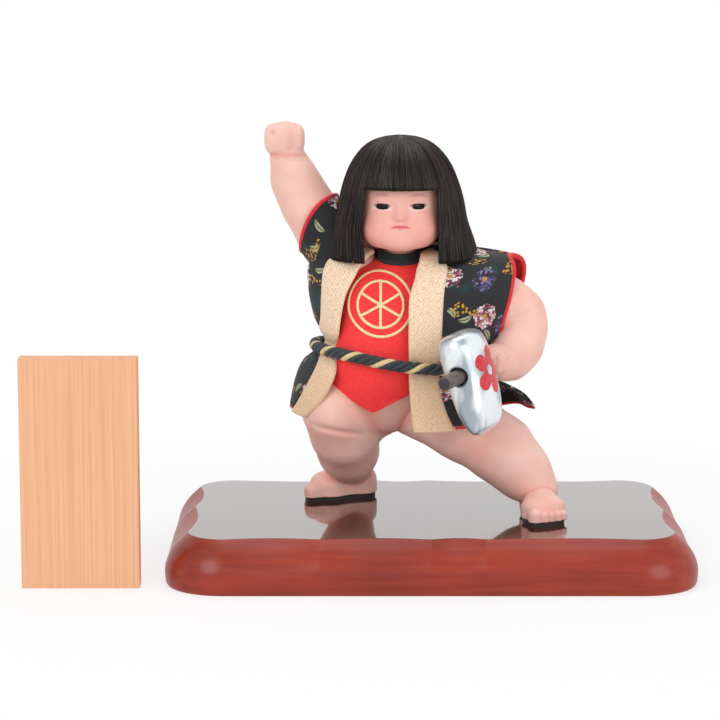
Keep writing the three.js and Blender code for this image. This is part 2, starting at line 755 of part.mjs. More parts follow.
// Legs: thigh, shin and foot in one, cut by the torso and flat at the sole.
const belowSole = boxOf(
  new THREE.Vector3(-standWidth, -standDepth, -overrun),
  new THREE.Vector3(standWidth, standDepth, soleHeight),
);
const legChains = {
  right: [rightThighShares, rightShinShares],
  left: [leftThighShares],
};
const legBlock = (side, extra) => joinAll(
  legChains[side].map((table) => chainSolid(stationsOf(table), extra)),
);
for (const [side, foot] of Object.entries(feet)) {
  const leg = legBlock(side, 0).add(footSolid(foot)).subtract(torsoBlock(clearance));
  addPiece(`${side}_leg`, mainPart(leg.subtract(belowSole).subtract(pegCutters)), colours.skin);
}

// Axe: a fat, smooth head with a recessed eye, and a round handle that ends inside the fist.
const axeSideDirection = axeHandleDirection.clone().cross(axeEdgeDirection).normalize();
const axeEye = place(...axeEyeShare);
const onAxe = (back, down, side) => axeEye.clone()
  .addScaledVector(axeHandleDirection, -back)
  .addScaledVector(axeEdgeDirection, down)
  .addScaledVector(axeSideDirection, side);
const axeSections = axeHeadShares.map(([down, halfThickness, front, back]) => {
  const ring = [];
  for (let i = 0; i < 16; i++) {
    const angle = (i / 16) * fullTurn;
    const squared = (value) => Math.sign(value) * Math.abs(value) ** axeHeadSquareness;
    const middle = (front + back) / 2;
    const reach = (back - front) / 2;
    ring.push(onAxe(
      (middle + reach * squared(Math.cos(angle))) * axeLength,
      down * axeLength,
      halfThickness * squared(Math.sin(angle)) * axeLength,
    ));
  }
  return ring;
});
const [, axeSideShare, , axeDepthShare] = axeHeadShares[4];
const handleRod = (extra) => rodSolid(
  onAxe(-axeHandleTip - extra, 0, 0),
  onAxe(axeHandleLength - axeHandleTip + extra, 0, 0),
  axeHandleRadius + extra,
);
const eyeRecess = rodSolid(onAxe(-overrun, 0, 0), onAxe(axeEyeRecess, 0, 0), axeEyeRadius);
const axeHeadBlock = loftSolid(axeSections);
const axeHead = axeHeadBlock.subtract(handleRod(clearance)).subtract(eyeRecess);
addPiece('axe_head', axeHead, colours.silver);
addPiece('axe_handle', handleRod(0), colours.handle);

// Arms: upper arm, forearm and fist. The left fist is closed round the axe's handle.
const fistOf = (shares) => shares.map((share) => share * figureHeight);
const rightFistCentre = place(...rightFistPlaceShares);
const rightFist = [ellipsoidSolid(rightFistCentre, new THREE.Vector3(...fistOf(rightFistRadiiShares)))];
for (const [across, top, bottom] of rightFingerShares) {
  const points = [top, (top + bottom) / 2, bottom].map((up, i) => (
    new THREE.Vector3(across, rightFingerFrontShares[i], up).multiplyScalar(figureHeight).add(rightFistCentre)
  ));
  rightFist.push(finger(points, fingerRadius));
}
const thumb = rightThumbShares.map((share) => (
  new THREE.Vector3(...share).multiplyScalar(figureHeight).add(rightFistCentre)
));
rightFist.push(finger(thumb, thumbRadius));

const leftFistAt = (along, down, side) => onAxe(fistAlongHandle + along, down, side);
const leftFistRadius = leftFistRadiusShare * figureHeight;
function leftFist(extra) {
  const palm = [-1, 1].map((end) => (
    { centre: leftFistAt((end * leftFistRadius) / 3, 0, 0), radius: leftFistRadius }
  ));
  const fingers = leftFingerShares.map((along) => finger(leftKnuckleAngles.map((angle) => leftFistAt(
    along * leftFistRadius,
    leftFistRadius * Math.cos(angle) * knuckleReachShare,
    leftFistRadius * Math.sin(angle) * knuckleReachShare,
  )), fingerRadius + extra));
  return joinAll([chainSolid(palm, extra), ...fingers]);
}

const rightArmChain = (extra) => chainSolid(stationsOf(rightArmShares), extra);
const leftArmChain = (extra) => chainSolid(stationsOf(leftArmShares), extra);
const leftArmBlock = (extra) => leftArmChain(extra).add(leftFist(extra));
const rightArm = joinAll([rightArmChain(0), ...rightFist]).subtract(torsoBlock(clearance));
addPiece('right_arm', mainPart(rightArm), colours.skin);
const axeClear = joinAll([handleRod(clearance), axeHeadBlock]);
const leftArm = leftArmBlock(0).subtract(torsoBlock(clearance)).subtract(axeClear);
addPiece('left_arm', mainPart(leftArm), colours.skin);

// Bib: a padded cloth over chest and belly, with a sewn ring and a six-pointed star in it.
function onBib(x, height, distance) {
  const row = rowAt(torsoShares, height);
  return torsoSkin(row, angleAt(torsoShares, row, x), bibGap + distance);
}
const bib = sheetSolid(9, 6, (down, across, side) => {
  const [height, right, left] = between(bibShares, down * (bibShares.length - 1));
  return onBib(THREE.MathUtils.lerp(right, left, across), height, side === 0 ? bibThickness : 0);
});
const legsClear = joinAll(Object.keys(feet).map((side) => legBlock(side, clearance)));
addPiece('bib_panel', mainPart(bib.subtract(legsClear).subtract(torsoBlock(clearance))), colours.bib);

const crestRingRadius = crestRingShare * figureHeight;
const stitchHeight = bibThickness + clearance + stitchRadius;
const crestPoint = (radius, angle) => onBib(
  crestShare[0] + (radius / figureHeight) * Math.cos(angle),
  crestShare[1] + (radius / figureHeight) * Math.sin(angle),
  stitchHeight,
);
const circleOf = (radius, count) => (
  listOf(count, (i) => crestPoint(radius, (i / count) * fullTurn))
);
addPiece('bib_ring', ringCord(circleOf(crestRingRadius, 20), stitchRadius, 20, 5), colours.gold);
const starRadius = crestRingRadius * starShare;
const star = [ringCord(circleOf(starRadius, 14), stitchRadius, 14, 4)];
for (let ray = 0; ray < starRayCount; ray++) {
  const angle = quarter + (ray / starRayCount) * Math.PI;
  const points = [-1, -0.5, 0, 0.5, 1].map((along) => crestPoint(along * starRadius, angle));
  star.push(openCord(points, stitchRadius, 3, 4));
}
addPiece('bib_star', joinAll(star), colours.gold);

// The bib's neck band lies round the short neck, under the chin.
const bandBottom = place(0, 0, bibShares[0][0]).z + bibGap + bibThickness + clearance;
const bandBelow = boxOf(place(-1, -1, 0), place(1, 1, 0).setZ(bandBottom));
const bandAbove = boxOf(place(-1, -1, 0).setZ(bandBottom + neckBandHeight), place(1, 1, 1));
const neckBand = torsoBlock(clearance + neckBandThickness)
  .subtract(torsoBlock(clearance))
  .subtract(joinAll([bandBelow, bandAbove]))
  .subtract(swept(headBlock(headGap)))
  .subtract(rightArmChain(clearance))
  .subtract(leftArmChain(clearance));
addPiece('bib_neck_band', mainPart(neckBand), colours.band);

// Coat: a back, two fronts that hang open, and a short sleeve up the raised arm.
const coatSkin = skinOf(coatShares, coatMiddleShare);
const coatRows = coatShares.length - 1;
const ropeProud = lapelProud + ropeGap + ropeRadius;
const coatBlock = (extra, sides = 36) => skinSolid(coatSkin, coatShares, sides, 1, extra);
const seam = clearance / (coatShares[4][4] * figureHeight);
const bindingMargin = (bindingRadius + clearance) / (armholeAngle * coatShares[4][4] * figureHeight);
const armholeEdge = (row, side) => {
  const reach = (row - armholeDownShare * coatRows) / (armholeReachShare * coatRows * (1 + bindingMargin));
  const seamAngle = quarter + side * seam;
  if (Math.abs(reach) >= 1) {
    return seamAngle;
  }
  const edge = armholeMiddle + side * armholeAngle * (1 + bindingMargin) * Math.sqrt(1 - reach ** 2);
  return side < 0 ? Math.min(edge, seamAngle) : Math.max(edge, seamAngle);
};
const coatFold = (row, angle) => {
  const skirt = THREE.MathUtils.smoothstep(row, ropeRowCount + 1, coatRows);
  const back = THREE.MathUtils.smoothstep(-Math.cos(angle), -0.2, 0.6);
  return coatFoldDepth * skirt * back * Math.cos(coatFoldCount * angle);
};
function coatPanel(rowSteps, angleSteps, edges) {
  return sheetSolid(rowSteps, angleSteps, (down, across, side) => {
    const row = down * coatRows;
    const [from, to] = edges(row);
    const angle = THREE.MathUtils.lerp(from, to, across);
    return coatSkin(row, angle, coatFold(row, angle) - (side === 1 ? coatThickness : 0));
  });
}
const lapelAngles = (table, row) => between(table, row).map((x) => angleAt(coatShares, row, x));
const coatBack = coatPanel(12, 13, (row) => [armholeEdge(row, 1), 3 * quarter - seam]);
const coatFrontRight = coatPanel(12, 3, (row) => [
  -quarter + seam,
  lapelAngles(rightLapelShares, row)[1] - seam,
]);
const coatFrontLeft = coatPanel(12, 5, (row) => {
  const [share] = between(leftFrontEdgeShares, row);
  return [lapelAngles(leftLapelShares, row)[1] + seam, armholeEdge(row, -1) * share];
});

// Lapels: two thick bands of cream cloth down the front edges, proud of the coat.
const lapel = (table) => sheetSolid(12, 3, (down, across, side) => {
  const row = down * coatRows;
  const [inner, outer] = lapelAngles(table, row);
  return coatSkin(row, THREE.MathUtils.lerp(inner, outer, across), side === 0 ? lapelProud : -coatThickness);
});
const collar = sheetSolid(2, 12, (down, across, side) => {
  const angle = THREE.MathUtils.lerp(quarter, 3 * quarter, across);
  return coatSkin(down * collarShare * coatRows, angle, side === 0 ? collarProud : collarProud - lapelProud);
});

// The rope belt's route, and the rim of the left armhole.
const ropePoints = listOf(28, (i) => (
  coatSkin(ropeRowCount, (i / 28) * fullTurn, ropeProud)
));

const armholeRim = listOf(20, (i) => {
  const angle = (i / 20) * fullTurn;
  const row = armholeDownShare * coatRows + armholeReachShare * coatRows * Math.cos(angle);
  return coatSkin(row, armholeMiddle + armholeAngle * Math.sin(angle), -coatThickness / 2);
});

// What the cloth has to stay clear of.
const bodyClear = [
  torsoBlock(bibGap + bibThickness + 3 * clearance),
  rightArmChain(coatGap),
  leftArmChain(coatGap),
  legsClear,
  swept(headBlock(headGap)),
  ringCord(ropePoints, ropeRadius + clearance, 32, 8),
  ringCord(armholeRim, bindingRadius + clearance, 24, 6),
];
const clearOfBody = (solid) => mainPart(bodyClear.reduce((rest, block) => rest.subtract(block), solid));
addPiece('coat_back', clearOfBody(coatBack), colours.brocade);
addPiece('coat_front_right', clearOfBody(coatFrontRight), colours.brocade);
addPiece('coat_front_left', clearOfBody(coatFrontLeft), colours.brocade);
addPiece('lapel_right', clearOfBody(lapel(rightLapelShares)), colours.cream);
addPiece('lapel_left', clearOfBody(lapel(leftLapelShares)), colours.cream);
addPiece('collar_back', clearOfBody(collar), colours.cream);

// The right sleeve ends at a slanted plane, where a red binding goes round it.
const sleeveEdge = sleeveEdgeShares.map((share) => place(...share));
const sleevePlane = new THREE.Plane().setFromCoplanarPoints(...sleeveEdge);
const [, shoulder, , elbow] = stationsOf(rightArmShares);
const armAxis = elbow.centre.clone().sub(shoulder.centre).normalize();
if (sleevePlane.normal.dot(armAxis) < 0) {
  sleevePlane.negate();
}
const sleeveMiddle = new THREE.Vector3();
new THREE.Ray(shoulder.centre, armAxis).intersectPlane(sleevePlane, sleeveMiddle);
const beyondSleeve = new THREE.BoxGeometry(figureHeight, figureHeight, figureHeight);
beyondSleeve.translate(0, 0, figureHeight / 2 - bindingRadius - clearance);
beyondSleeve.applyQuaternion(new THREE.Quaternion().setFromUnitVectors(upright, sleevePlane.normal));
beyondSleeve.translate(sleeveMiddle.x, sleeveMiddle.y, sleeveMiddle.z);
const sleeveStations = stationsOf(rightArmShares).slice(0, 5);
const sleeve = chainSolid(sleeveStations, coatGap + coatThickness)
  .subtract(rightArmChain(coatGap))
  .subtract(toSolid(beyondSleeve))
  .subtract(swept(headBlock(headGap)))
  .subtract(coatBlock(collarProud + 3 * clearance, 36));
addPiece('sleeve_right', mainPart(sleeve), colours.brocade);

const sleeveRadius = rightArmShares[2][3] * figureHeight + coatGap + coatThickness / 2;
const sleeveAcross = new THREE.Vector3(0, 1, 0).cross(armAxis).normalize();
const sleeveThrough = armAxis.clone().cross(sleeveAcross);
const sleeveRim = listOf(16, (i) => {
  const angle = (i / 16) * fullTurn;
  const spoke = sleeveAcross.clone().multiplyScalar(Math.cos(angle));
  spoke.addScaledVector(sleeveThrough, Math.sin(angle));
  const slide = -(sleeveRadius * spoke.dot(sleevePlane.normal)) / armAxis.dot(sleevePlane.normal);
  return sleeveMiddle.clone().addScaledVector(spoke, sleeveRadius).addScaledVector(armAxis, slide);
});
const sleeveBinding = ringCord(sleeveRim, bindingRadius, 20, 6).subtract(rightArmChain(clearance));
addPiece('binding_right', mainPart(sleeveBinding), colours.red);

const armholeBinding = ringCord(armholeRim, bindingRadius, 24, 6).subtract(leftArmChain(clearance));
addPiece('binding_left', mainPart(armholeBinding), colours.red);

// Red edging under the hem of each part of the coat.
const [, rightHemEnd] = lapelAngles(rightLapelShares, coatRows);
const [, leftHemStart] = lapelAngles(leftLapelShares, coatRows);
const hemEdges = [
  ['back', 16, quarter, 3 * quarter],
  ['right', 4, -quarter, rightHemEnd],
  ['left', 5, leftHemStart, quarter * leftFrontEdgeShares[coatRows][0]],
];
for (const [part, steps, from, to] of hemEdges) {
  const points = listOf(steps + 1, (i) => {
    const angle = THREE.MathUtils.lerp(from + 2 * seam, to - 2 * seam, i / steps);
    const point = coatSkin(coatRows, angle, coatFold(coatRows, angle) - coatThickness / 2);
    return point.setZ(point.z - hemRadius - hemGap);
  });
  const hem = openCord(points, hemRadius, steps, 5).subtract(legsClear);
  addPiece(`hem_${part}`, mainPart(hem), colours.red);
}

// Rope belt round the waist over the lapels, with its knot at the back.
const knotCentre = coatSkin(ropeRowCount, Math.PI, ropeProud + knotProud);
const knotRadii = new THREE.Vector3(...knotShares).multiplyScalar(ropeRadius);
const knot = ellipsoidSolid(knotCentre, knotRadii, undefined, 12, 7);
const ropeRing = ringCord(ropePoints, ropeRadius, 32, 8);
const knotClear = ellipsoidSolid(knotCentre, knotRadii.clone().addScalar(clearance), undefined, 12, 7);
addPiece('rope_belt', mainPart(ropeRing.subtract(knotClear).subtract(leftArmBlock(clearance))), colours.rope);
addPiece('rope_knot', mainPart(knot.subtract(coatBlock(clearance))), colours.rope);

// Hair: one wig with a straight fringe, a window for the face and a hollow for the neck.
const hairSkin = skinOf(hairShares);
const windowOutline = new THREE.Shape(
  faceWindowShares.map(([x, z]) => new THREE.Vector2(x, z).multiplyScalar(figureHeight)),
);
const windowDepth = (windowBackShare - windowFrontShare) * figureHeight;
const faceWindow = new THREE.ExtrudeGeometry(windowOutline, { depth: windowDepth, bevelEnabled: false });
faceWindow.rotateX(quarter);
faceWindow.translate(0, windowBackShare * figureHeight, standHeight);
const neckHollow = boxOf(place(...neckHollowShares.low), place(...neckHollowShares.high));
const shoulders = coatBlock(collarProud + 3 * clearance, 24);
const raisedSleeve = chainSolid(sleeveStations, coatGap + coatThickness + 2 * clearance);
const sleeveRing = ringCord(sleeveRim, bindingRadius + clearance, 20, 6);
const hair = skinSolid(hairSkin, hairShares, 24, 1)
  .subtract(headBlock(clearance))
  .subtract(nose)
  .subtract(toSolid(faceWindow))
  .subtract(neckHollow)
  .subtract(swept(joinAll([shoulders, raisedSleeve, sleeveRing])));
addPiece('hair', mainPart(hair), colours.hair);

// A round red mark laid on the side of the axe head.
const axeDepth = axeDepthShare * axeLength;
const markSide = axeSideShare * axeLength;
const mark = rodSolid(
  onAxe(axeDepth / 2, axeMarkDown, markSide + clearance),
  onAxe(axeDepth / 2, axeMarkDown, markSide + clearance + axeCrestDepth),
  axeCrestRadius,
  28,
);
addPiece('axe_mark', mark, colours.red);

// Name board: a plain upright board of light wood that stands by itself beside the stand.
const boardFace = new THREE.Shape();
boardFace.moveTo(-boardWidth / 2 + boardEdge, boardEdge);
boardFace.lineTo(boardWidth / 2 - boardEdge, boardEdge);
boardFace.lineTo(boardWidth / 2 - boardEdge, boardHeight - boardEdge);
boardFace.lineTo(-boardWidth / 2 + boardEdge, boardHeight - boardEdge);
boardFace.closePath();
const board = new THREE.ExtrudeGeometry(boardFace, {
  depth: boardThickness - 2 * boardEdge,
  bevelEnabled: true,
  bevelThickness: boardEdge,
  bevelSize: boardEdge,
  bevelSegments: 1,
});
board.rotateX(quarter);
board.translate(-standWidth / 2 - boardGap - boardWidth / 2, boardFrontY + boardThickness - boardEdge, 0);
addPiece('name_board', toSolid(board), colours.wood);

export default doll;
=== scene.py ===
import math

import bmesh
import bpy
import numpy as np
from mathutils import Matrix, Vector


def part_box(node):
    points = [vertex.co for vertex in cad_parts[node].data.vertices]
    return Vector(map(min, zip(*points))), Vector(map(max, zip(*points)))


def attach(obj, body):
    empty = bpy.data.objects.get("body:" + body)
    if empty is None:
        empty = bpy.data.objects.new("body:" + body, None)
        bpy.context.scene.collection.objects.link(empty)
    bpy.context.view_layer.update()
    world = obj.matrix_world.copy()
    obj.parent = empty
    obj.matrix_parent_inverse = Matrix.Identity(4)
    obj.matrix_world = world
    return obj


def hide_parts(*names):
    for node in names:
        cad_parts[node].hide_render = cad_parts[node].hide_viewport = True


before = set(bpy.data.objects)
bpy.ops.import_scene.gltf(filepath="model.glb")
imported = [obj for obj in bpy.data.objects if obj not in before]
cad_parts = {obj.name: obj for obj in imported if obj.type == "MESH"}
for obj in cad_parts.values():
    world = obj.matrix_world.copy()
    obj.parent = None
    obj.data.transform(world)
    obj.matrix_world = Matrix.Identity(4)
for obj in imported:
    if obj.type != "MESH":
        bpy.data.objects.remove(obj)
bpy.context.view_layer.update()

MM = 0.001

# Camera: a long lens a little above level, straight on to the stand's front edge.
# Nothing of it is part of the doll.
CAMERA_RISE = math.radians(9.3)
CAMERA_AIM = Vector((-48.3, 0, 140.5)) * MM
CAMERA_AWAY = 1.887
scene = bpy.context.scene
scene.view_settings.view_transform = "Standard"
camera = bpy.data.objects.new("camera", bpy.data.cameras.new("camera"))
scene.collection.objects.link(camera)
camera.location = CAMERA_AIM + CAMERA_AWAY * Vector((0, -math.cos(CAMERA_RISE), math.sin(CAMERA_RISE)))
camera.rotation_euler = (math.pi / 2 - CAMERA_RISE, 0, 0)
camera.data.sensor_width = 36
camera.data.lens = 135.8
scene.camera = camera

# Stand: one slab of hardwood with scoops carved along its edge, stained red-brown and lacquered
# until it shines like a mirror. A felt is let into its underside, and two pegs stand in it.
STAND = np.array([360, 225, 35]) * MM
STAND_CORNER = 40 * MM
STAND_TOP_INSET = 16 * MM
SCOOP = 4 * MM
# Each level of the edge: share of the height, share of the inset, share of the scoops' depth.
STAND_LEVELS = [
    [0, 0.1, 0], [0.08, 0.02, 0], [0.33, 0, 0], [0.56, 0.16, 0.3],
    [0.78, 0.48, 0.85], [0.93, 0.82, 1], [1, 1, 1],
]
STAND_LEVEL_STEPS = 73
TOP_RINGS_INWARD = np.array([1, 4, 12, 40, 80]) * MM
FRONT_SCOOPS, FRONT_STEPS = [0, 0.233, 0.497, 0.629, 1], 280
SIDE_SCOOPS, SIDE_STEPS = [0, 0.46, 1], 140
CORNER_STEPS = 24


def between(table, row):
    """Values of a table between its rows, on a smooth curve through them."""
    table, row = np.asarray(table, float), np.asarray(row, float)
    last = len(table) - 1
    at = np.clip(row, 0, last)
    i = np.minimum(at.astype(int), last - 1)
    t = (at - i)[..., None]
    a, b = table[np.maximum(i - 1, 0)], table[i]
    c, d = table[i + 1], table[np.minimum(i + 2, last)]
    return (
        (2 * t**3 - 3 * t**2 + 1) * b + (t**3 - 2 * t**2 + t) * (c - a) / 2
        + (3 * t**2 - 2 * t**3) * c + (t**3 - t**2) * (d - b) / 2
    )


def stand_ring(inset, scoop, height):
    """One line round the slab: straight sides with scoops, and round corners."""
    half = STAND[:2] / 2 - inset
    radius = max(STAND_CORNER - inset, MM)
    angle = np.pi / 2 * (np.arange(CORNER_STEPS) / CORNER_STEPS - 1)
    ring = []
    for turn, (c, s) in enumerate([(1, 0), (0, 1), (-1, 0), (0, -1)]):
        across, out = half if turn % 2 == 0 else half[::-1]
        shares, steps = ((FRONT_SCOOPS, FRONT_STEPS), (SIDE_SCOOPS, SIDE_STEPS))[turn % 2]
        along = np.arange(steps) / steps
        depth = np.zeros(steps)
        for low, high in zip(shares, shares[1:]):
            inside = (along >= low) & (along < high)
            depth[inside] = scoop * np.sin(np.pi * (along[inside] - low) / (high - low))
        reach = across - radius
        line = np.stack([(2 * along - 1) * reach, -out + depth], -1)
        bend = np.stack([reach + radius * np.cos(angle), radius - out + radius * np.sin(angle)], -1)
        x, y = np.concatenate([line, bend]).T
        ring.append(np.stack([c * x - s * y, s * x + c * y, np.full(len(x), height)], -1))
    return np.concatenate(ring)


def grid_faces(rows, columns, closed=False, start=0):
    """Four-cornered faces of a grid of points, row after row."""
    row, column = np.meshgrid(np.arange(rows - 1), np.arange(columns - (not closed)), indexing="ij")
    a = start + row * columns + column
    b = start + row * columns + (column + 1) % columns
    return np.stack([a, b, b + columns, a + columns], -1).reshape(-1, 4)


def piece(name, points, faces, caps=(), **attributes):
    """A smooth-shaded mesh object from points, four-cornered faces and flat caps."""
    points = np.asarray(points, np.float32).reshape(-1, 3)
    corners = np.concatenate([np.asarray(faces, np.int32).ravel()] + [np.asarray(c, np.int32) for c in caps])
    sizes = [4] * len(faces) + [len(c) for c in caps]
    mesh = bpy.data.meshes.new(name)
    mesh.vertices.add(len(points))
    mesh.vertices.foreach_set("co", points.ravel())
    mesh.loops.add(len(corners))
    mesh.loops.foreach_set("vertex_index", corners)
    mesh.polygons.add(len(sizes))
    mesh.polygons.foreach_set("loop_start", np.cumsum([0] + sizes[:-1]).astype(np.int32))
    mesh.polygons.foreach_set("use_smooth", np.ones(len(sizes), bool))
    for key, values in attributes.items():
        values = np.asarray(values, np.float32).reshape(len(points), -1)
        kind = "FLOAT_COLOR" if values.shape[1] == 4 else "FLOAT_VECTOR"
        layer = mesh.attributes.new(key, kind, "POINT")
        layer.data.foreach_set("color" if values.shape[1] == 4 else "vector", values.ravel())
    mesh.update(calc_edges=True)
    mesh.validate()
    made = bpy.data.objects.new(name, mesh)
    scene.collection.objects.link(made)
    return made


def linear(code):
    """A colour written as sRGB hex, turned to linear light."""
    channels = [int(code[i:i + 2], 16) / 255 for i in (1, 3, 5)]
    return [c / 12.92 if c <= 0.04045 else ((c + 0.055) / 1.055) ** 2.4 for c in channels] + [1]


def finish_of(name, **values):
    """A new material and its main shader, with plain values set on the shader."""
    made = bpy.data.materials.new(name)
    made.use_nodes = True
    shader = made.node_tree.nodes["Principled BSDF"]
    for key, value in values.items():
        shader.inputs[key.replace("_", " ")].default_value = value
    return made, shader


def add(made, kind, inputs=None, stops=None, **settings):
    """Adds a node of a kind, or takes one that is there, and gives it its settings and inputs.

    An input is a value, a node, or one of a node's outputs."""
    node = made.node_tree.nodes.new("ShaderNode" + kind) if isinstance(kind, str) else kind
    for key, value in settings.items():
        setattr(node, key, value)
    for key, value in (inputs or {}).items():
        if isinstance(value, bpy.types.Node):
            value = value.outputs[0]
        if isinstance(value, bpy.types.NodeSocket):
            made.node_tree.links.new(value, node.inputs[key])
        else:
            node.inputs[key].default_value = value
    for i, (at, colour) in enumerate(stops or []):
        elements = node.color_ramp.elements
        element = elements[i] if i < 2 else elements.new(at)
        element.position, element.color = at, linear(colour)
    return node


def grained(name, stops, grain, laid=None, cut=False, painted=False, relief=None, **values):
    """A material whose tone varies in a fine grain, which may also stand out in relief.

    The grain may be stretched and turned, follow the flat cloth, and tint a piece's own paint."""
    made, shader = finish_of(name, **values)
    if cut:
        at = add(made, "Attribute", attribute_name="cut").outputs["Vector"]
    else:
        at = add(made, "TexCoord").outputs["Object"]
    if laid:
        at = add(made, "Mapping", {"Vector": at, **laid})
    grain = add(made, "TexNoise", {"Vector": at, **grain})
    tone = add(made, "ValToRGB", {0: grain}, stops=stops)
    if painted:
        paint = add(made, "Attribute", attribute_name="paint").outputs["Color"]
        tone = add(
            made, "Mix", {0: 1, 6: paint, 7: tone}, data_type="RGBA", blend_type="MULTIPLY",
        ).outputs[2]
    add(made, shader, {"Base Color": tone})
    if relief:
        strength, distance = relief
        bump = add(made, "Bump", {"Height": grain, "Strength": strength, "Distance": distance})
        add(made, shader, {"Normal": bump})
    return made


levels = between(STAND_LEVELS, np.linspace(0, len(STAND_LEVELS) - 1, STAND_LEVEL_STEPS))
rings = [stand_ring(inset * STAND_TOP_INSET, scoop * SCOOP, high * STAND[2]) for high, inset, scoop in levels]
rings += [stand_ring(STAND_TOP_INSET + inward, SCOOP, STAND[2]) for inward in TOP_RINGS_INWARD]
ring_size = len(rings[0])
stand = piece(
    "carved_stand", np.concatenate(rings), grid_faces(len(rings), ring_size, closed=True),
    caps=[np.arange(ring_size)[::-1], np.arange(ring_size) + ring_size * (len(rings) - 1)],
)
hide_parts("stand_board")
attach(stand, "figure")

# Polyester lacquer over stained hardwood: long faint grain. The flat top is buffed to a mirror and
# coloured darker than the sides, a painted shade; the carved sides keep a softer gloss.
for name, gloss, coat, sheen, dark, pale in (
    # The top's darker tones are painted shade.
    ("mirror_lacquered_hardwood", 0.02, 1, 0.25, "#3C130C", "#53200F"),
    ("lacquered_hardwood", 0.3, 0.78, 0, "#8A200B", "#AA3818"),
):
    lacquer, shader = finish_of(
        name, Roughness=0.12, Specular_IOR_Level=sheen, Coat_Weight=coat, Coat_Roughness=gloss, Coat_IOR=1.55,
    )
    spot = add(lacquer, "TexCoord").outputs["Object"]
    stretched = add(lacquer, "Mapping", {"Vector": spot, "Scale": (9, 110, 170)})
    grain = add(lacquer, "TexNoise", {"Vector": stretched, "Scale": 1, "Detail": 7, "Roughness": 0.62})
    tone = add(lacquer, "ValToRGB", {0: grain}, stops=[(0.3, dark), (0.72, pale)])
    cloud = add(lacquer, "TexNoise", {"Vector": spot, "Scale": 17, "Detail": 2})
    shade = add(lacquer, "ValToRGB", {0: cloud}, stops=[(0.25, "#DCCCC8"), (0.75, "#FFFFFF")])
    mixed = add(lacquer, "Mix", {0: 1, 6: tone, 7: shade}, data_type="RGBA", blend_type="MULTIPLY")
    add(lacquer, shader, {"Base Color": mixed.outputs[2]})
    stand.data.materials.append(lacquer)
on_side = np.arange(len(stand.data.polygons)) < ring_size * (len(levels) - 1)
stand.data.polygons.foreach_set("material_index", on_side.astype(np.int32))

# Felt under the stand: pressed wool, let into the slab so that it doesn't scratch the table.
# Its fibres are a tenth of a millimetre thick, and are drawn coarser so that they show.
felt = grained(
    "wool_felt", [(0.3, "#1F2B22"), (0.75, "#3C4D40")], {"Scale": 1 / (0.9 * MM), "Detail": 5},
    relief=(0.6, 0.2 * MM), Roughness=0.95, Sheen_Weight=0.4, Sheen_Roughness=0.6,
)


def finish_solids(finish, *nodes):
    """Gives a material to solids that are shown just as they are."""
    for node in nodes:
        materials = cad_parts[node].data.materials
        materials.clear()
        materials.append(finish)


finish_solids(felt, "stand_felt")

# Pegs: turned beech dowels that hold the feet on the stand and the head on the body.
# Beech shows fine lengthways pores.
dowel = grained(
    "turned_beech", [(0.35, "#A97C4E"), (0.7, "#D4AC7C")], {"Scale": 1, "Detail": 4},
    {"Scale": (900, 900, 90)}, Roughness=0.6,
)
finish_solids(dowel, "foot_peg_right", "foot_peg_left", "neck_peg")

# Sole pads: thin dark rubber cut to the foot, glued under each sole.
# Rubber is matt, with a slight grain from its mould.
rubber = grained(
    "sole_rubber", [(0.3, "#100C0B"), (0.8, "#251C1A")], {"Scale": 1 / (0.7 * MM), "Detail": 3},
    relief=(0.4, 0.1 * MM), Roughness=0.6,
)
finish_solids(rubber, "sole_pad_right", "sole_pad_left")

# Body: torso, legs and arms cast in composition from a carved master, sanded and sprayed with a
# matt skin-coloured coat. Fat limbs meet in soft creases at groin, wrist, elbow and ankle.
HEIGHT = 270 * MM
STAND_TOP = STAND[2]
SOLE = STAND_TOP + 2.9 * MM
TORSO = [
    [0.195, 0, 0, -0.15, -0.1, 0, 0.05], [0.215, 0, 0, -0.19, -0.06, -0.05, 0.08],
    [0.26, 0, 0, -0.245, -0.005, -0.09, 0.115], [0.33, 0, 0, -0.268, 0.032, -0.128, 0.125],
    [0.39, 0, 0, -0.261, 0.039, -0.142, 0.122], [0.45, 0, 0, -0.243, 0.035, -0.138, 0.114],
    [0.51, 0, 0, -0.231, 0.031, -0.122, 0.108], [0.57, 0, 0, -0.238, 0.04, -0.1, 0.1],
    [0.612, 0, 0, -0.212, 0.04, -0.074, 0.088], [0.638, 0, 0, -0.15, -0.004, -0.047, 0.07],
    [0.65, 0, 0, -0.126, -0.028, -0.03, 0.06], [0.665, 0, 0, -0.122, -0.032, -0.027, 0.057],
    [0.695, 0, 0, -0.12, -0.034, -0.025, 0.055],
]
RIGHT_ARM = [
    [-0.14, 0.02, 0.55, 0.055], [-0.217, 0.037, 0.649, 0.065], [-0.272, 0.057, 0.721, 0.067],
    [-0.3155, 0.062, 0.789, 0.061], [-0.3455, 0.06, 0.848, 0.0545], [-0.366, 0.058, 0.912, 0.0445],
]
LEFT_ARM = [
    [-0.02, 0.02, 0.56, 0.056], [0.1, 0.012, 0.58, 0.056], [0.194, 0.004, 0.545, 0.057],
    [0.232, -0.004, 0.512, 0.0575], [0.238, -0.012, 0.472, 0.0565], [0.226, -0.035, 0.43, 0.056],
    [0.203, -0.065, 0.403, 0.048], [0.178, -0.095, 0.39, 0.036],
]
RIGHT_LEG = [
    [-0.15, 0.03, 0.285, 0.105], [-0.235, -0.02, 0.27, 0.088], [-0.22, 0.022, 0.198, 0.083],
    [-0.21, 0.085, 0.14, 0.075], [-0.203, 0.15, 0.093, 0.062],
]
LEFT_LEG = [
    [-0.03, 0.02, 0.285, 0.098], [0.09, -0.03, 0.227, 0.09], [0.181, -0.048, 0.167, 0.083],
    [0.236, -0.056, 0.112, 0.069], [0.28, -0.068, 0.067, 0.05],
]
FOOT_LENGTH = 56 * MM
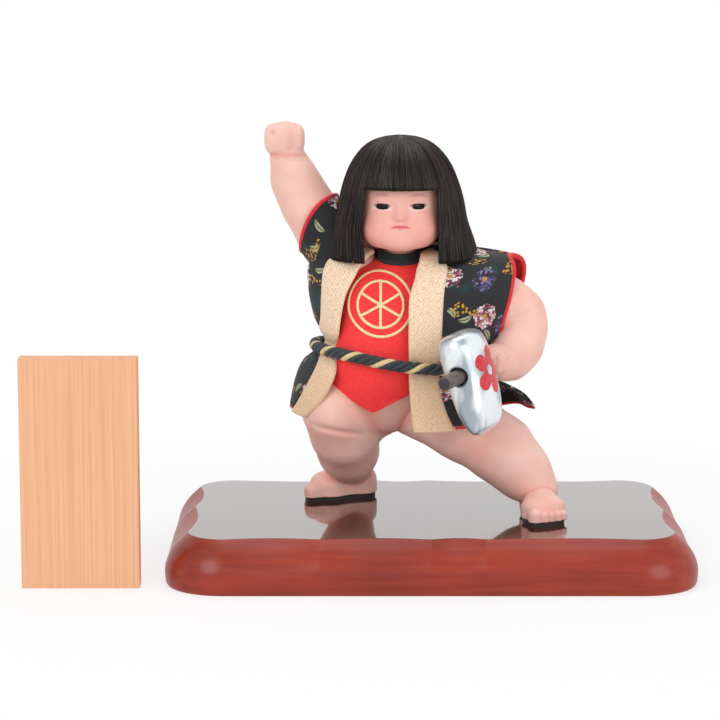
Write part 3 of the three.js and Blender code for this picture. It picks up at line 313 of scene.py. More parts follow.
FEET = {
    "right": {"heel": (-0.136, 0.181), "forward": (-0.955, -0.297), "big_toe_side": 1},
    "left": {"heel": (0.266, -0.018), "forward": (0.17, -0.985), "big_toe_side": -1},
}
# Each toe in foot lengths: forward, to the big toe's side, up, and its radius.
TOES = [
    [0.9, 0.165, 0.085, 0.09], [0.905, 0.058, 0.07, 0.067], [0.88, -0.033, 0.065, 0.063],
    [0.85, -0.117, 0.06, 0.06], [0.8, -0.193, 0.055, 0.057],
]


def place(x, y, z):
    """A point from shares of the figure's height, measured from the stand's top."""
    x, y, z = np.broadcast_arrays(np.asarray(x, float), y, z)
    return np.stack([x * HEIGHT, y * HEIGHT, STAND_TOP + z * HEIGHT], -1)


def length_of(v):
    return np.sqrt((v * v).sum(-1))


def cone(p, a, b, radius_a, radius_b):
    """Distance to a limb that tapers between two balls."""
    axis = b - a
    long = max(float(np.linalg.norm(axis)), 1e-9)
    axis = axis / long
    away = p - a
    along = away @ axis
    aside = np.sqrt(np.maximum((away * away).sum(-1) - along * along, 0))
    slope = (radius_a - radius_b) / long
    t = np.clip((along - aside * slope / math.sqrt(1 - slope * slope)) / long, 0, 1)
    return np.sqrt((along - t * long) ** 2 + aside * aside) - (radius_a + (radius_b - radius_a) * t)


def ball(p, centre, radii, axes=None):
    """Distance to an egg shape, near enough close to its skin."""
    away = p - centre
    if axes is not None:
        away = away @ np.asarray(axes).T
    share = length_of(away / radii)
    return share * (share - 1) / np.maximum(length_of(away / np.square(radii)), 1e-9)


def block(p, centre, half, fullness):
    """Distance to a box with bulging sides; the fuller it is, the squarer."""
    share = (np.abs((p - centre) / half) ** fullness).sum(-1) ** (1 / fullness)
    return (share - 1) * min(half)


def melt(a, b, soft):
    """Joins two shapes with a soft fillet."""
    h = np.clip(0.5 + 0.5 * (b - a) / soft, 0, 1)
    return b * (1 - h) + a * h - soft * h * (1 - h)


def limb(p, table, soft=8 * MM):
    """A chain of tapering lengths, melted together."""
    centres = place(*np.asarray(table)[:, :3].T)
    radii = np.asarray(table)[:, 3] * HEIGHT
    whole = None
    for i in range(len(table) - 1):
        part = cone(p, centres[i], centres[i + 1], radii[i], radii[i + 1])
        whole = part if whole is None else melt(whole, part, soft)
    return whole


def trunk(p, table):
    """Distance to a body given by a table of rows round an upright middle."""
    rows = between(table, np.linspace(0, len(table) - 1, 20 * len(table)))
    high = (p[..., 2] - STAND_TOP) / HEIGHT
    right, left, front, back = (np.interp(high, rows[:, 0], rows[:, i]) * HEIGHT for i in (3, 4, 5, 6))
    x = p[..., 0] - (right + left) / 2
    y = p[..., 1] - (front + back) / 2
    half, reach = (left - right) / 2, (back - front) / 2
    share = np.sqrt((x / half) ** 2 + (y / reach) ** 2)
    pull = np.maximum(np.sqrt((x / half**2) ** 2 + (y / reach**2) ** 2), 1e-6)
    side = np.where(share > 0.4, share * (share - 1) / pull, -0.24 / np.maximum(1 / half, 1 / reach))
    low, top = rows[0, 0], rows[-1, 0]
    return np.maximum(side, np.maximum(low - high, high - top) * HEIGHT)


def crease(p, at, along, deep, wide, reach):
    """A soft fold pressed in across a limb, near one point."""
    away = p - at
    flat = away @ (np.asarray(along) / np.linalg.norm(along))
    return deep * np.exp(-((flat / wide) ** 2) - (length_of(away) / reach) ** 4)


CORNERS = np.array([[i, j, k] for i in (0, 1) for j in (0, 1) for k in (0, 1)])
CELL_EDGES = [(a, b) for a in range(8) for b in range(a + 1, 8) if abs(CORNERS[a] - CORNERS[b]).sum() == 1]


def sculpt(name, field, low, high, step, paint):
    """The painted skin of a field of distances: an even mesh, each point laid on the skin itself."""
    low = np.asarray(low, float)
    size = np.ceil((np.asarray(high) - low) / step).astype(int) + 1
    axes = [low[i] + step * np.arange(size[i]) for i in range(3)]
    values = field(np.stack(np.meshgrid(*axes, indexing="ij"), -1))
    inside = values < 0
    cells = size - 1
    filled = sum(
        inside[i:i + cells[0], j:j + cells[1], k:k + cells[2]].astype(np.int8) for i, j, k in CORNERS
    )
    mixed = (filled > 0) & (filled < 8)
    where = np.argwhere(mixed)
    number = np.full(cells, -1)
    number[mixed] = np.arange(len(where))
    at_corner = np.stack([values[tuple((where + c).T)] for c in CORNERS], -1)
    total, count = np.zeros((len(where), 3)), np.zeros(len(where))
    for a, b in CELL_EDGES:
        va, vb = at_corner[:, a], at_corner[:, b]
        cross = (va < 0) != (vb < 0)
        t = np.where(cross, va / np.where(cross, va - vb, 1), 0)
        total += cross[:, None] * (CORNERS[a] + t[:, None] * (CORNERS[b] - CORNERS[a]))
        count += cross
    points = low + step * (where + total / count[:, None])
    quads = []
    for axis in range(3):
        u, v = np.eye(3, dtype=int)[(axis + 1) % 3], np.eye(3, dtype=int)[(axis + 2) % 3]
        ahead = np.eye(3, dtype=int)[axis]
        here = inside[:size[0] - ahead[0], :size[1] - ahead[1], :size[2] - ahead[2]]
        there = inside[ahead[0]:, ahead[1]:, ahead[2]:]
        edges = np.argwhere(here != there)
        kept = ((edges @ u >= 1) & (edges @ v >= 1) & (edges @ u < cells @ u) & (edges @ v < cells @ v))
        edges = edges[kept]
        around = ((0, 0), (1, 0), (1, 1), (0, 1))
        quad = np.stack([number[tuple((edges - du * u - dv * v).T)] for du, dv in around], -1)
        outward = here[tuple(edges.T)]
        quads.append(np.where(outward[:, None], quad, quad[:, ::-1]))
    quads = np.concatenate(quads)
    tiny = 0.2 * step
    for _ in range(3):
        total, count = np.zeros_like(points), np.zeros(len(points))
        for i in range(4):
            for j in ((i + 1) % 4, (i + 3) % 4):
                for k in range(3):
                    total[:, k] += np.bincount(quads[:, i], points[quads[:, j], k], len(points))
                count += np.bincount(quads[:, i], minlength=len(points))
        points = 0.4 * points + 0.6 * total / np.maximum(count, 1)[:, None]
        here = field(points)
        slope = np.stack([(field(points + tiny * e) - here) / tiny for e in np.eye(3)], -1)
        move = here[:, None] * slope / np.maximum((slope**2).sum(-1), 0.05)[:, None]
        points -= np.clip(move, -step, step)
    return piece(name, points, quads, paint=paint(points))


def foot_axes(foot):
    """Directions forward and to the big toe's side."""
    ahead = np.array([*foot["forward"], 0])
    return ahead, np.array([-ahead[1], ahead[0], 0]) * foot["big_toe_side"]


def foot_place(foot, forward, aside, up):
    """A point of a foot, in foot lengths from its heel and sole."""
    ahead, side = foot_axes(foot)
    point = place(*foot["heel"], 0) + FOOT_LENGTH * (forward * ahead + aside * side)
    point[2] = SOLE + up * FOOT_LENGTH
    return point


def foot_field(p, foot):
    """A short fat foot: heel, ball, five toes with nails, and a flat sole."""
    ahead, side = foot_axes(foot)

    def upright(up):
        """Points below a height, lifted to it, so that a shape's sides run straight down from there."""
        lifted = p.copy()
        lifted[..., 2] = np.maximum(p[..., 2], SOLE + up * FOOT_LENGTH)
        return lifted

    ankle = [foot_place(foot, 0.2, 0, 0.15), foot_place(foot, 0.45, 0, 0.15)]
    whole = cone(upright(0.15), *ankle, 0.2 * FOOT_LENGTH, 0.19 * FOOT_LENGTH)
    radii = np.array([0.23, 0.268, 0.16]) * FOOT_LENGTH
    pad = ball(upright(0.13), foot_place(foot, 0.64, 0.01, 0.13), radii, [ahead, side, [0, 0, 1]])
    whole = melt(whole, pad, 6 * MM)
    for forward, aside, up, radius in TOES:
        root = foot_place(foot, 0.66, aside * 0.9, up)
        tip = foot_place(foot, forward, aside, up * 1.05)
        toe = cone(upright(up), root, tip, radius * 0.86 * FOOT_LENGTH, radius * FOOT_LENGTH)
        whole = melt(whole, toe, 0.9 * MM)
    for forward, aside, up, radius in TOES:
        nail_radii = np.array([0.5, 0.62, 0.3]) * radius * FOOT_LENGTH
        centre = foot_place(foot, forward + 0.5 * radius, aside, up * 1.05 + 0.78 * radius)
        tilted = [ahead * 0.8 - np.array([0, 0, 0.6]), side, ahead * 0.6 + np.array([0, 0, 0.8])]
        nail = ball(p, centre, nail_radii, tilted)
        whole = np.minimum(np.maximum(whole, -nail - 0.35 * MM), np.maximum(nail, whole + 0.18 * MM))
    return np.maximum(whole, SOLE - p[..., 2])


def torso_field(p):
    return trunk(p, TORSO)


def near(distance, reach):
    """One where a distance is nothing, falling softly to nothing beyond a reach."""
    return np.exp(-((distance / reach) ** 2))


# The fold across each leg, its direction and how deep, wide and long it is pressed in, then how
# softly the ankle meets the foot, and how much colour is rubbed into the toes and the fold.
LEGS = {
    "right": {
        "table": RIGHT_LEG, "fold": place(-0.2347, -0.107, 0.223), "across": (0.2, 0, 0.98),
        "press": (1.5 * MM, 2.4 * MM, 19 * MM), "ankle": 1.2 * MM, "toes": 0.6, "blush": 0.3,
    },
    "left": {
        "table": LEFT_LEG, "fold": place(0.1137, -0.135, 0.178), "across": (0.85, 0, -0.53),
        "press": (1.3 * MM, 4 * MM, 17 * MM), "ankle": 1.6 * MM, "toes": 0.5, "blush": 0.5,
    },
}


def leg_field(side):
    leg = LEGS[side]

    def at(p):
        calf = limb(p, leg["table"]) + crease(p, leg["fold"], leg["across"], *leg["press"])
        return np.maximum(melt(calf, foot_field(p, FEET[side]), leg["ankle"]), SOLE - p[..., 2])

    return at


RIGHT_FIST = place(-0.3722, 0.056, 0.956)
FIST_DIMPLE = RIGHT_FIST + np.array([-7.9, -12, 5.2]) * MM
FINGER_GAPS = [-7.5, -1.5, 4.5]


def right_arm_field(p):
    """Upper arm, forearm and a closed fist with its fingers turned in."""
    arm = limb(p, RIGHT_ARM, 9 * MM)
    arm = arm + crease(p, place(-0.36, 0.02, 0.905), (0.1, 0, 1), 0.7 * MM, 1.2 * MM, 14 * MM)
    back = block(p, RIGHT_FIST + np.array([-4.4, -1.5, 0]) * MM, np.array([9.5, 12, 10.8]) * MM, 3)
    heel = block(p, RIGHT_FIST + np.array([5, 1.5, -0.2]) * MM, np.array([9, 10.4, 10.6]) * MM, 3)
    fist = melt(back, heel, 6 * MM)
    away = p - RIGHT_FIST
    over = np.clip((away[..., 2] + 0.5 * away[..., 1]) / (9 * MM), 0, 1)
    for gap in FINGER_GAPS:
        fist = fist + 0.3 * MM * over * near(away[..., 0] - gap * MM, 0.7 * MM)
    fist = fist + 1.3 * MM * near(length_of(p - FIST_DIMPLE), 1.7 * MM)
    return melt(arm, fist, 1.2 * MM)


ALONG_HANDLE = np.array([-0.43, -0.9, -0.05]) / np.linalg.norm([-0.43, -0.9, -0.05])
TO_EDGE = np.array([0.27, -0.0757, -0.96]) / np.linalg.norm([0.27, -0.0757, -0.96])
TO_SIDE = np.cross(ALONG_HANDLE, TO_EDGE) / np.linalg.norm(np.cross(ALONG_HANDLE, TO_EDGE))
AXE_EYE = place(0.061, -0.3185, 0.4)


def on_axe(back, down, side):
    """A point by its distance behind the axe's eye, towards the edge, and to the side."""
    return AXE_EYE - back * ALONG_HANDLE + down * TO_EDGE + side * TO_SIDE


LEFT_FIST_BACK = 61 * MM
LEFT_FIST = 0.038 * HEIGHT
KNUCKLES_OUT = 0.78 * LEFT_FIST
KNUCKLE_TURNS = np.radians([-60, -10, 40, 90])
FINGERS_ALONG = (-0.75, -0.25, 0.25, 0.72)


def left_arm_field(p):
    """A bent arm whose fist is closed round the axe's handle."""
    arm = limb(p, LEFT_ARM)
    arm = arm + crease(p, place(0.19, -0.03, 0.47), (0.2, 0.3, 1), 1.4 * MM, 1.6 * MM, 11 * MM)
    arm = arm + crease(p, place(0.221, -0.074, 0.5086), (-0.48, 0, 0.876), 1.3 * MM, 2 * MM, 14 * MM)
    arm = arm + crease(p, place(0.188, -0.082, 0.396), (-0.6, -0.75, -0.3), 1.2 * MM, 1.4 * MM, 15 * MM)
    front, back = (on_axe(LEFT_FIST_BACK + end * LEFT_FIST / 3, 0, 0) for end in (-1, 1))
    fist = cone(p, front, back, LEFT_FIST, LEFT_FIST)
    for along in FINGERS_ALONG:
        at = LEFT_FIST_BACK + along * LEFT_FIST
        knuckles = [on_axe(at, KNUCKLES_OUT * math.cos(t), KNUCKLES_OUT * math.sin(t)) for t in KNUCKLE_TURNS]
        for a, b in zip(knuckles, knuckles[1:]):
            fist = melt(fist, cone(p, a, b, 3.5 * MM, 3.4 * MM), 0.8 * MM)
    return melt(arm, fist, 1.5 * MM)


# SHADED is the colour of the painted shade laid into the creases.
SKIN, ROSY, SHADED = (np.array(linear(code)) for code in ("#F3CBBE", "#E9A69A", "#DFAA9C"))


def skin_paint(rosy, shaded=0.0):
    """Skin colour, rosier where a maker rubs colour in, and with painted shade down in the creases."""
    rosy = np.clip(rosy, 0, 1)[:, None]
    shaded = np.clip(shaded, 0, 1)
    shaded = (shaded if np.ndim(shaded) else np.full(len(rosy), shaded))[:, None]
    return (SKIN * (1 - rosy) + ROSY * rosy) * (1 - shaded) + SHADED * shaded


def paint_torso(p):
    folds = np.maximum(near(limb(p, RIGHT_LEG), 4 * MM), near(limb(p, LEFT_LEG), 4 * MM))
    # Painted shade, with rubbed-in rose, in the creases where the legs meet the torso.
    return skin_paint(0.9 * folds + 0.12, 0.3 * folds)


def paint_leg(side):
    leg, foot = LEGS[side], FEET[side]

    def at(p):
        ankle = limb(p, leg["table"]) - foot_field(p, foot)
        folds = np.maximum(near(torso_field(p), 4 * MM), near(ankle, 1.4 * MM))
        toes = near(length_of(p - foot_place(foot, 0.9, 0, 0.07)), 11 * MM)
        fold = near(length_of(p - leg["fold"]), 15 * MM)
        # Painted shade, with rubbed-in rose, in the groin and ankle creases.
        return skin_paint(0.8 * folds + leg["toes"] * toes + leg["blush"] * fold + 0.12, 0.25 * folds)

    return at


def paint_right_arm(p):
    wrist = near((p - place(-0.3726, 0.056, 0.917)) @ np.array([0, 0, 1]), 1.6 * MM)
    dimple = near(length_of(p - FIST_DIMPLE), 1.9 * MM)
    fist = near(length_of(p - RIGHT_FIST), 15 * MM)
    # Painted shade in the wrist crease, and full painted shade in the fist's dimple.
    return skin_paint(0.8 * wrist + 0.3 * fist + 0.12, 0.4 * wrist + dimple)


def paint_left_arm(p):
    elbow = near(length_of(p - place(0.275, 0.02, 0.5)), 16 * MM)
    fist = near(length_of(p - on_axe(LEFT_FIST_BACK, 0, 0)), 14 * MM)
    return skin_paint(0.45 * elbow + 0.4 * fist + 0.12)


# Matt flesh paint sprayed on composition: an even orange-peel, drawn at 0.4 mm, and slow drifts of
# tone. Light goes a little way into it, so the shade in the creases stays warm.
skin, shader = finish_of(
    "matt_flesh_paint", Roughness=0.52, Specular_IOR_Level=0.35, Subsurface_Weight=0.12,
    Subsurface_Radius=(1, 0.35, 0.2), Subsurface_Scale=2 * MM,
)
painted = add(skin, "Attribute", attribute_name="paint").outputs["Color"]
spot = add(skin, "TexCoord").outputs["Object"]
blush = add(skin, "TexNoise", {"Vector": spot, "Scale": 1 / (24 * MM), "Detail": 2})
blush_tone = add(skin, "ValToRGB", {0: blush}, stops=[(0.3, "#F6EAE6"), (0.7, "#FFFFFF")])
mixed = add(skin, "Mix", {0: 1, 6: painted, 7: blush_tone}, data_type="RGBA", blend_type="MULTIPLY")
peel = add(skin, "TexNoise", {"Vector": spot, "Scale": 1 / (0.4 * MM), "Detail": 3})
bump = add(skin, "Bump", {"Height": peel, "Strength": 0.12, "Distance": 0.1 * MM})
add(skin, shader, {"Base Color": mixed.outputs[2], "Normal": bump})

SCULPT_MARGIN = 4 * MM
for name, field, paint, step in (
    ("torso", torso_field, paint_torso, 1.1 * MM),
    ("right_leg", leg_field("right"), paint_leg("right"), 0.75 * MM),
    ("left_leg", leg_field("left"), paint_leg("left"), 0.75 * MM),
    ("right_arm", right_arm_field, paint_right_arm, 0.7 * MM),
    ("left_arm", left_arm_field, paint_left_arm, 0.7 * MM),
):
    low, high = (np.array(corner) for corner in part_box(name))
    cast = sculpt("cast_" + name, field, low - SCULPT_MARGIN, high + SCULPT_MARGIN, step, paint)
    cast.data.materials.append(skin)
    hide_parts(name)
    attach(cast, "figure")

# Head: cast like the body, with a fuller face, carved eyelids, nose and lips, and rubbed-in colour
# on cheeks, lips and brows. It turns on a peg in the neck.
HEAD = [
    [0.686, 0, 0, -0.107, -0.047, -0.1, -0.01], [0.6915, 0, 0, -0.123, -0.031, -0.114, 0.015],
    [0.703, 0, 0, -0.141, -0.013, -0.124, 0.045], [0.722, 0, 0, -0.161, 0.007, -0.131, 0.075],
    [0.75, 0, 0, -0.178, 0.024, -0.134, 0.096], [0.79, 0, 0, -0.19, 0.036, -0.133, 0.105],
    [0.83, 0, 0, -0.19, 0.036, -0.132, 0.11], [0.87, 0, 0, -0.183, 0.029, -0.124, 0.108],
    [0.905, 0, 0, -0.166, 0.012, -0.102, 0.092], [0.93, 0, 0, -0.14, -0.014, -0.068, 0.062],
    [0.943, 0, 0, -0.105, -0.049, -0.03, 0.028],
]
FACE_MIDDLE = -20.9 * MM
EYE = np.array([12.2, -33.4, 251]) * MM
EYE_OPENING = np.array([4.7, 1.8]) * MM
FACE_SLOPE = 0.44


def mirrored(p):
    """The same point seen from the middle of the face, left and right alike."""
    return np.stack([np.abs(p[..., 0] - FACE_MIDDLE), p[..., 1], p[..., 2]], -1)


def on_face(x, y, z):
    return np.array([x, y, z]) * MM


def lip_line(q):
    """Height above the line where the lips meet; its corners turn down a little."""
    return q[..., 2] - 237.4 * MM + 0.8 * MM * (q[..., 0] / (6 * MM)) ** 4


def lips_field(q):
    upper = cone(q, on_face(0, -36.3, 238.1), on_face(6.2, -34.7, 237.2), 1.05 * MM, 0.5 * MM)
    lower = cone(q, on_face(0, -36.1, 236.5), on_face(5.2, -34.9, 236.8), 1.15 * MM, 0.5 * MM)
    return melt(upper, lower, 0.4 * MM)


def eye_opening(q):
    """Below nothing inside the slit between the lids, in eye widths."""
    x, z = np.abs(q[..., 0] - EYE[0]) / EYE_OPENING[0], np.abs(q[..., 2] - EYE[2]) / EYE_OPENING[1]
    return (x**2.5 + z**2.5) ** 0.4 - 1


def bent_back(q):
    """The same points with the face's curve across an eye taken out."""
    return np.stack([q[..., 0], q[..., 1] - FACE_SLOPE * (q[..., 0] - EYE[0]), q[..., 2]], -1)


def head_field(p):
    q = mirrored(p)
    face = trunk(p, HEAD)
    face = melt(face, ball(q, on_face(15.2, -21.5, 233.6), np.array([10.8, 12, 11]) * MM), 9 * MM)
    face = melt(face, ball(q, on_face(0, -28, 228.4), np.array([9, 6, 4.6]) * MM), 7 * MM)
    face = face + crease(q, on_face(12.5, -33, 251), (0, 0, 1), 0.6 * MM, 4 * MM, 8.5 * MM)
    face = face + crease(q, on_face(5.2, -35, 247), (1, 0, 0), 0.5 * MM, 3 * MM, 7 * MM)
    bridge = cone(q, on_face(0, -32.8, 254), on_face(0, -35, 245), 2 * MM, 2.6 * MM)
    face = melt(face, bridge, 5 * MM)
    face = melt(face, ball(q, on_face(0, -36.5, 244), np.array([2.6, 2.6, 2]) * MM), 2.6 * MM)
    face = melt(face, ball(q, on_face(2.7, -35.1, 243.4), np.array([1.7, 1.9, 1.4]) * MM), 1.6 * MM)
    face = face + crease(q, on_face(1.6, -37, 242), (0, 0, 1), 0.6 * MM, 0.6 * MM, 1 * MM)
    face = melt(face, lips_field(q), 1.1 * MM)
    slit = 0.35 * MM * np.exp(-((lip_line(q) / (0.42 * MM)) ** 2) - (q[..., 0] / (6.2 * MM)) ** 8)
    face = face + slit * (q[..., 1] < -20 * MM)
    bent = bent_back(q)
    fold = ball(bent, EYE + on_face(0, 0, 1.2), np.array([6.4, 9, 3]) * MM)
    face = face + 0.4 * MM * near(fold, 0.5 * MM) * (q[..., 2] > EYE[2] + 1.6 * MM) * (q[..., 1] < -20 * MM)
    hollow = np.maximum(eye_opening(bent) * EYE_OPENING[1], np.abs(bent[..., 1] - EYE[1]) - 4.2 * MM)
    return -melt(-face, hollow, 0.4 * MM)


LIP, BROW, LASH, LOWER_LID_HIGHLIGHT = (np.array(linear(code)) for code in ("#D8486C", "#9C8273", "#3A221C", "#FFE9DC"))


def paint_head(p):
    q = mirrored(p)
    front = (q[:, 1] < -20 * MM).astype(float)
    cheeks = near(length_of(q - on_face(18.5, -25, 233)), 11.5 * MM)
    colour = skin_paint(0.7 * cheeks + 0.2 * near(length_of(q - on_face(0, -37, 243)), 5 * MM) + 0.65)
    beyond = eye_opening(q) * EYE_OPENING[1]
    high = q[:, 2] - EYE[2]
    # A pale band along each lower lid is a painted highlight.
    lower_lid_highlight = 0.5 * front * near(beyond - 0.45 * MM, 0.5 * MM) * (high < 0)
    brow = np.abs(q[:, 2] - 259 * MM + 0.9 * MM * ((q[:, 0] - 12 * MM) / (5 * MM)) ** 2)
    brow = front * near(brow, 0.95 * MM) * np.exp(-(((q[:, 0] - 12.6 * MM) / (5.2 * MM)) ** 4)) * 0.7
    lash = front * near(beyond, 0.32 * MM) * (high > -0.2 * MM)
    lips = front * np.clip(0.5 - lips_field(q) / (0.35 * MM), 0, 1) * 0.55
    parting = front * near(lip_line(q), 0.9 * MM) * np.exp(-((q[:, 0] / (6.3 * MM)) ** 8))
    for tone, amount in ((LOWER_LID_HIGHLIGHT, lower_lid_highlight), (BROW, brow), (LIP, lips), (LIP, parting), (LASH, lash)):
        colour = colour * (1 - amount[:, None]) + tone * amount[:, None]
    return colour


low, high = (np.array(corner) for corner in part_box("head"))
head = sculpt("cast_head", head_field, low - SCULPT_MARGIN, high + SCULPT_MARGIN, 0.6 * MM, paint_head)
head.data.materials.append(skin)
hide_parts("head")
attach(head, "head")

# Eyes: glass, set from inside the head. The dark iris fills nearly the whole slit, with a little
# white at its corners. The glass is a little dulled.
EYE_RADII = np.array([6.6, 4.6, 4.6]) * MM
IRIS_RADIUS = 3.9 * MM
EYE_RINGS, EYE_MERIDIANS = 31, 64
IRIS, WHITE = np.array(linear("#140906")), np.array(linear("#C9BDB6"))
glass = grained(
    "eye_glass", [(0.3, "#D0C0B8"), (0.7, "#FFFFFF")], {"Scale": 1 / (0.8 * MM), "Detail": 3},
    painted=True, Roughness=0.22, Specular_IOR_Level=0.2,
)
around, down = np.meshgrid(
    np.linspace(0, 2 * np.pi, EYE_MERIDIANS + 1)[:-1], np.linspace(0, np.pi, EYE_RINGS + 2)[1:-1],
)
unit = np.stack([np.sin(down) * np.cos(around), -np.cos(down), np.sin(down) * np.sin(around)], -1)
pole = np.arange(EYE_MERIDIANS)
for name, side in (("eye_right", -1), ("eye_left", 1)):
    middle = np.array([FACE_MIDDLE + side * EYE[0], EYE[1] + EYE_RADII[1] + 0.3 * MM, EYE[2]])
    points = middle + unit.reshape(-1, 3) * EYE_RADII
    points[:, 1] += FACE_SLOPE * side * (points[:, 0] - middle[0])
    off = np.hypot(points[:, 0] - middle[0], points[:, 2] - middle[2])
    share = np.clip((off - IRIS_RADIUS) / (0.6 * MM), 0, 1)[:, None]
    eye = piece(
        "glass_" + name, points, grid_faces(EYE_RINGS, EYE_MERIDIANS, closed=True),
        caps=[pole[::-1], pole + (EYE_RINGS - 1) * EYE_MERIDIANS], paint=IRIS * (1 - share) + WHITE * share,
    )
    eye.data.materials.append(glass)
    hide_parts(name)
    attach(eye, "head")

# Hair: a wig of combed dark silk threads, glued from the crown outward, with a straight fringe
# and side locks cut level at the jaw. A thin cap of the same threads lies under them.
HAIR = [
    [0.655, 0, 0, -0.262, 0.124, -0.142, 0.165], [0.7, 0, 0, -0.255, 0.111, -0.148, 0.168],
    [0.75, 0, 0, -0.243, 0.093, -0.155, 0.17], [0.8, 0, 0, -0.23, 0.083, -0.158, 0.168],
    [0.85, 0, 0, -0.218, 0.069, -0.152, 0.16], [0.9, 0, 0, -0.198, 0.047, -0.132, 0.14],
    [0.94, 0, 0, -0.165, 0.012, -0.092, 0.1], [0.96, 0, 0, -0.125, -0.028, -0.045, 0.05],
    [0.966, 0, 0, -0.0815, -0.0725, -0.0035, 0.0055],
]
HAIR_TOP = len(HAIR) - 1
FRINGE_END = 0.843
HAIR_RADIUS = 0.36 * MM
HAIR_STEPS = 26
SIDE_THREADS, FRINGE_THREADS = 2600, 800
CAP_OUT, CAP_RIM = -1.0 * MM, 1 * MM
# How far each cheek pushes the lock beside it outward, in shares of the figure.
CHEEK_PUSH = {-1: 0.009, 1: 0.002}


def skin_of(table, middle=None):
    """A skin round an upright middle: row of its table, angle from the front, distance outward."""
    last = len(table) - 1
    rises = 1 if table[last][0] > table[0][0] else -1

    def on_skin(row, angle):
        z, slope, bow, right, left, front, back = np.moveaxis(between(table, row), -1, 0)
        x = (right + left) / 2 + (left - right) / 2 * np.sin(angle)
        core = (front + back) / 2 if middle is None else middle
        reach = np.where(np.cos(angle) > 0, core - front, back - core)
        lift = slope * (x - (right + left) / 2) + bow * np.sin(angle) ** 2
        return place(x, core - reach * np.cos(angle), z + lift)

    def skin_at(row, angle, out=0.0):
        row, angle, out = np.broadcast_arrays(np.asarray(row, float), angle, out)
        along = on_skin(np.minimum(row + 0.02, last), angle) - on_skin(np.maximum(row - 0.02, 0), angle)
        around = on_skin(row, angle + 0.02) - on_skin(row, angle - 0.02)
        normal = rises * np.cross(around, along)
        normal /= np.maximum(length_of(normal), 1e-12)[..., None]
        return on_skin(row, angle) + out[..., None] * normal

    return skin_at


def row_at(table, height):
    """The row of a table that reaches a height."""
    rows = np.linspace(0, len(table) - 1, 400)
    heights = between(table, rows)[:, 0]
    order = np.argsort(heights, kind="stable")
    return np.interp(height, heights[order], rows[order])


def angle_at(table, row, x):
    _, _, _, right, left, _, _ = np.moveaxis(between(table, row), -1, 0)
    return np.arcsin(np.clip((x - (right + left) / 2) / ((left - right) / 2), -1, 1))


hair_skin = skin_of(HAIR)
fringe_row = float(row_at(HAIR, FRINGE_END))


def lock_edge(row, side):
    """Angle of the straight inner edge of a side lock, and of the parting line above it."""
    low_row = np.minimum(row, fringe_row)
    height = between(HAIR, low_row)[..., 0]
    ends = (-0.17, -0.1675) if side < 0 else (0.022, 0.0175)
    x = np.interp(height, (0.55, FRINGE_END), ends)
    return angle_at(HAIR, low_row, x + side * CHEEK_PUSH[side] * np.exp(-(((height - 0.748) / 0.05) ** 2)))


def comb(share, row, fringe):
    """Angle of a thread: across the fringe, or round the back from lock to lock."""
    right, left = lock_edge(row, -1), lock_edge(row, 1)
    if fringe:
        return right + (left - right) * share
    return left + (2 * np.pi + right - left) * share


def hair_cap(name, fringe, rows, shares, inner):
    """The layer of threads under the others, ridged outside, as a closed shell with thin rims."""
    row, share = np.meshgrid(rows, shares, indexing="ij")
    angle = comb(share, row, fringe)
    ridges = 0.35 * MM * np.sin(share * 900 + 3 * np.sin(share * 57))
    edge_share = np.clip(np.minimum(share, 1 - share) / 0.05, 0, 1)
    outside = hair_skin(row, angle, CAP_OUT + ridges)
    inside = hair_skin(row, angle, CAP_OUT - CAP_RIM + (inner - CAP_OUT + CAP_RIM) * edge_share)
    count, across = row.shape
    size = count * across
    faces = [grid_faces(count, across), grid_faces(count, across, start=size)[:, ::-1]]
    edge = np.concatenate([
        np.arange(across), np.arange(1, count) * across + across - 1,
        (count - 1) * across + np.arange(across - 2, -1, -1), np.arange(count - 2, 0, -1) * across,
    ])
    ring = np.roll(edge, -1)
    faces.append(np.stack([ring, edge, edge + size, ring + size], -1))
    return piece(name, np.concatenate([outside.reshape(-1, 3), inside.reshape(-1, 3)]), np.concatenate(faces))


side_rows, side_shares = np.linspace(HAIR_TOP, 0.16, 50), np.linspace(0.003, 0.997, 560)
cap_sides = hair_cap("hair_under_sides", False, side_rows, side_shares, -6.5 * MM)
fringe_rows, fringe_shares = np.linspace(HAIR_TOP, fringe_row, 26), np.linspace(0, 1, 160)
cap_fringe = hair_cap("hair_under_fringe", True, fringe_rows, fringe_shares, -4 * MM)

luck = np.random.default_rng(5)


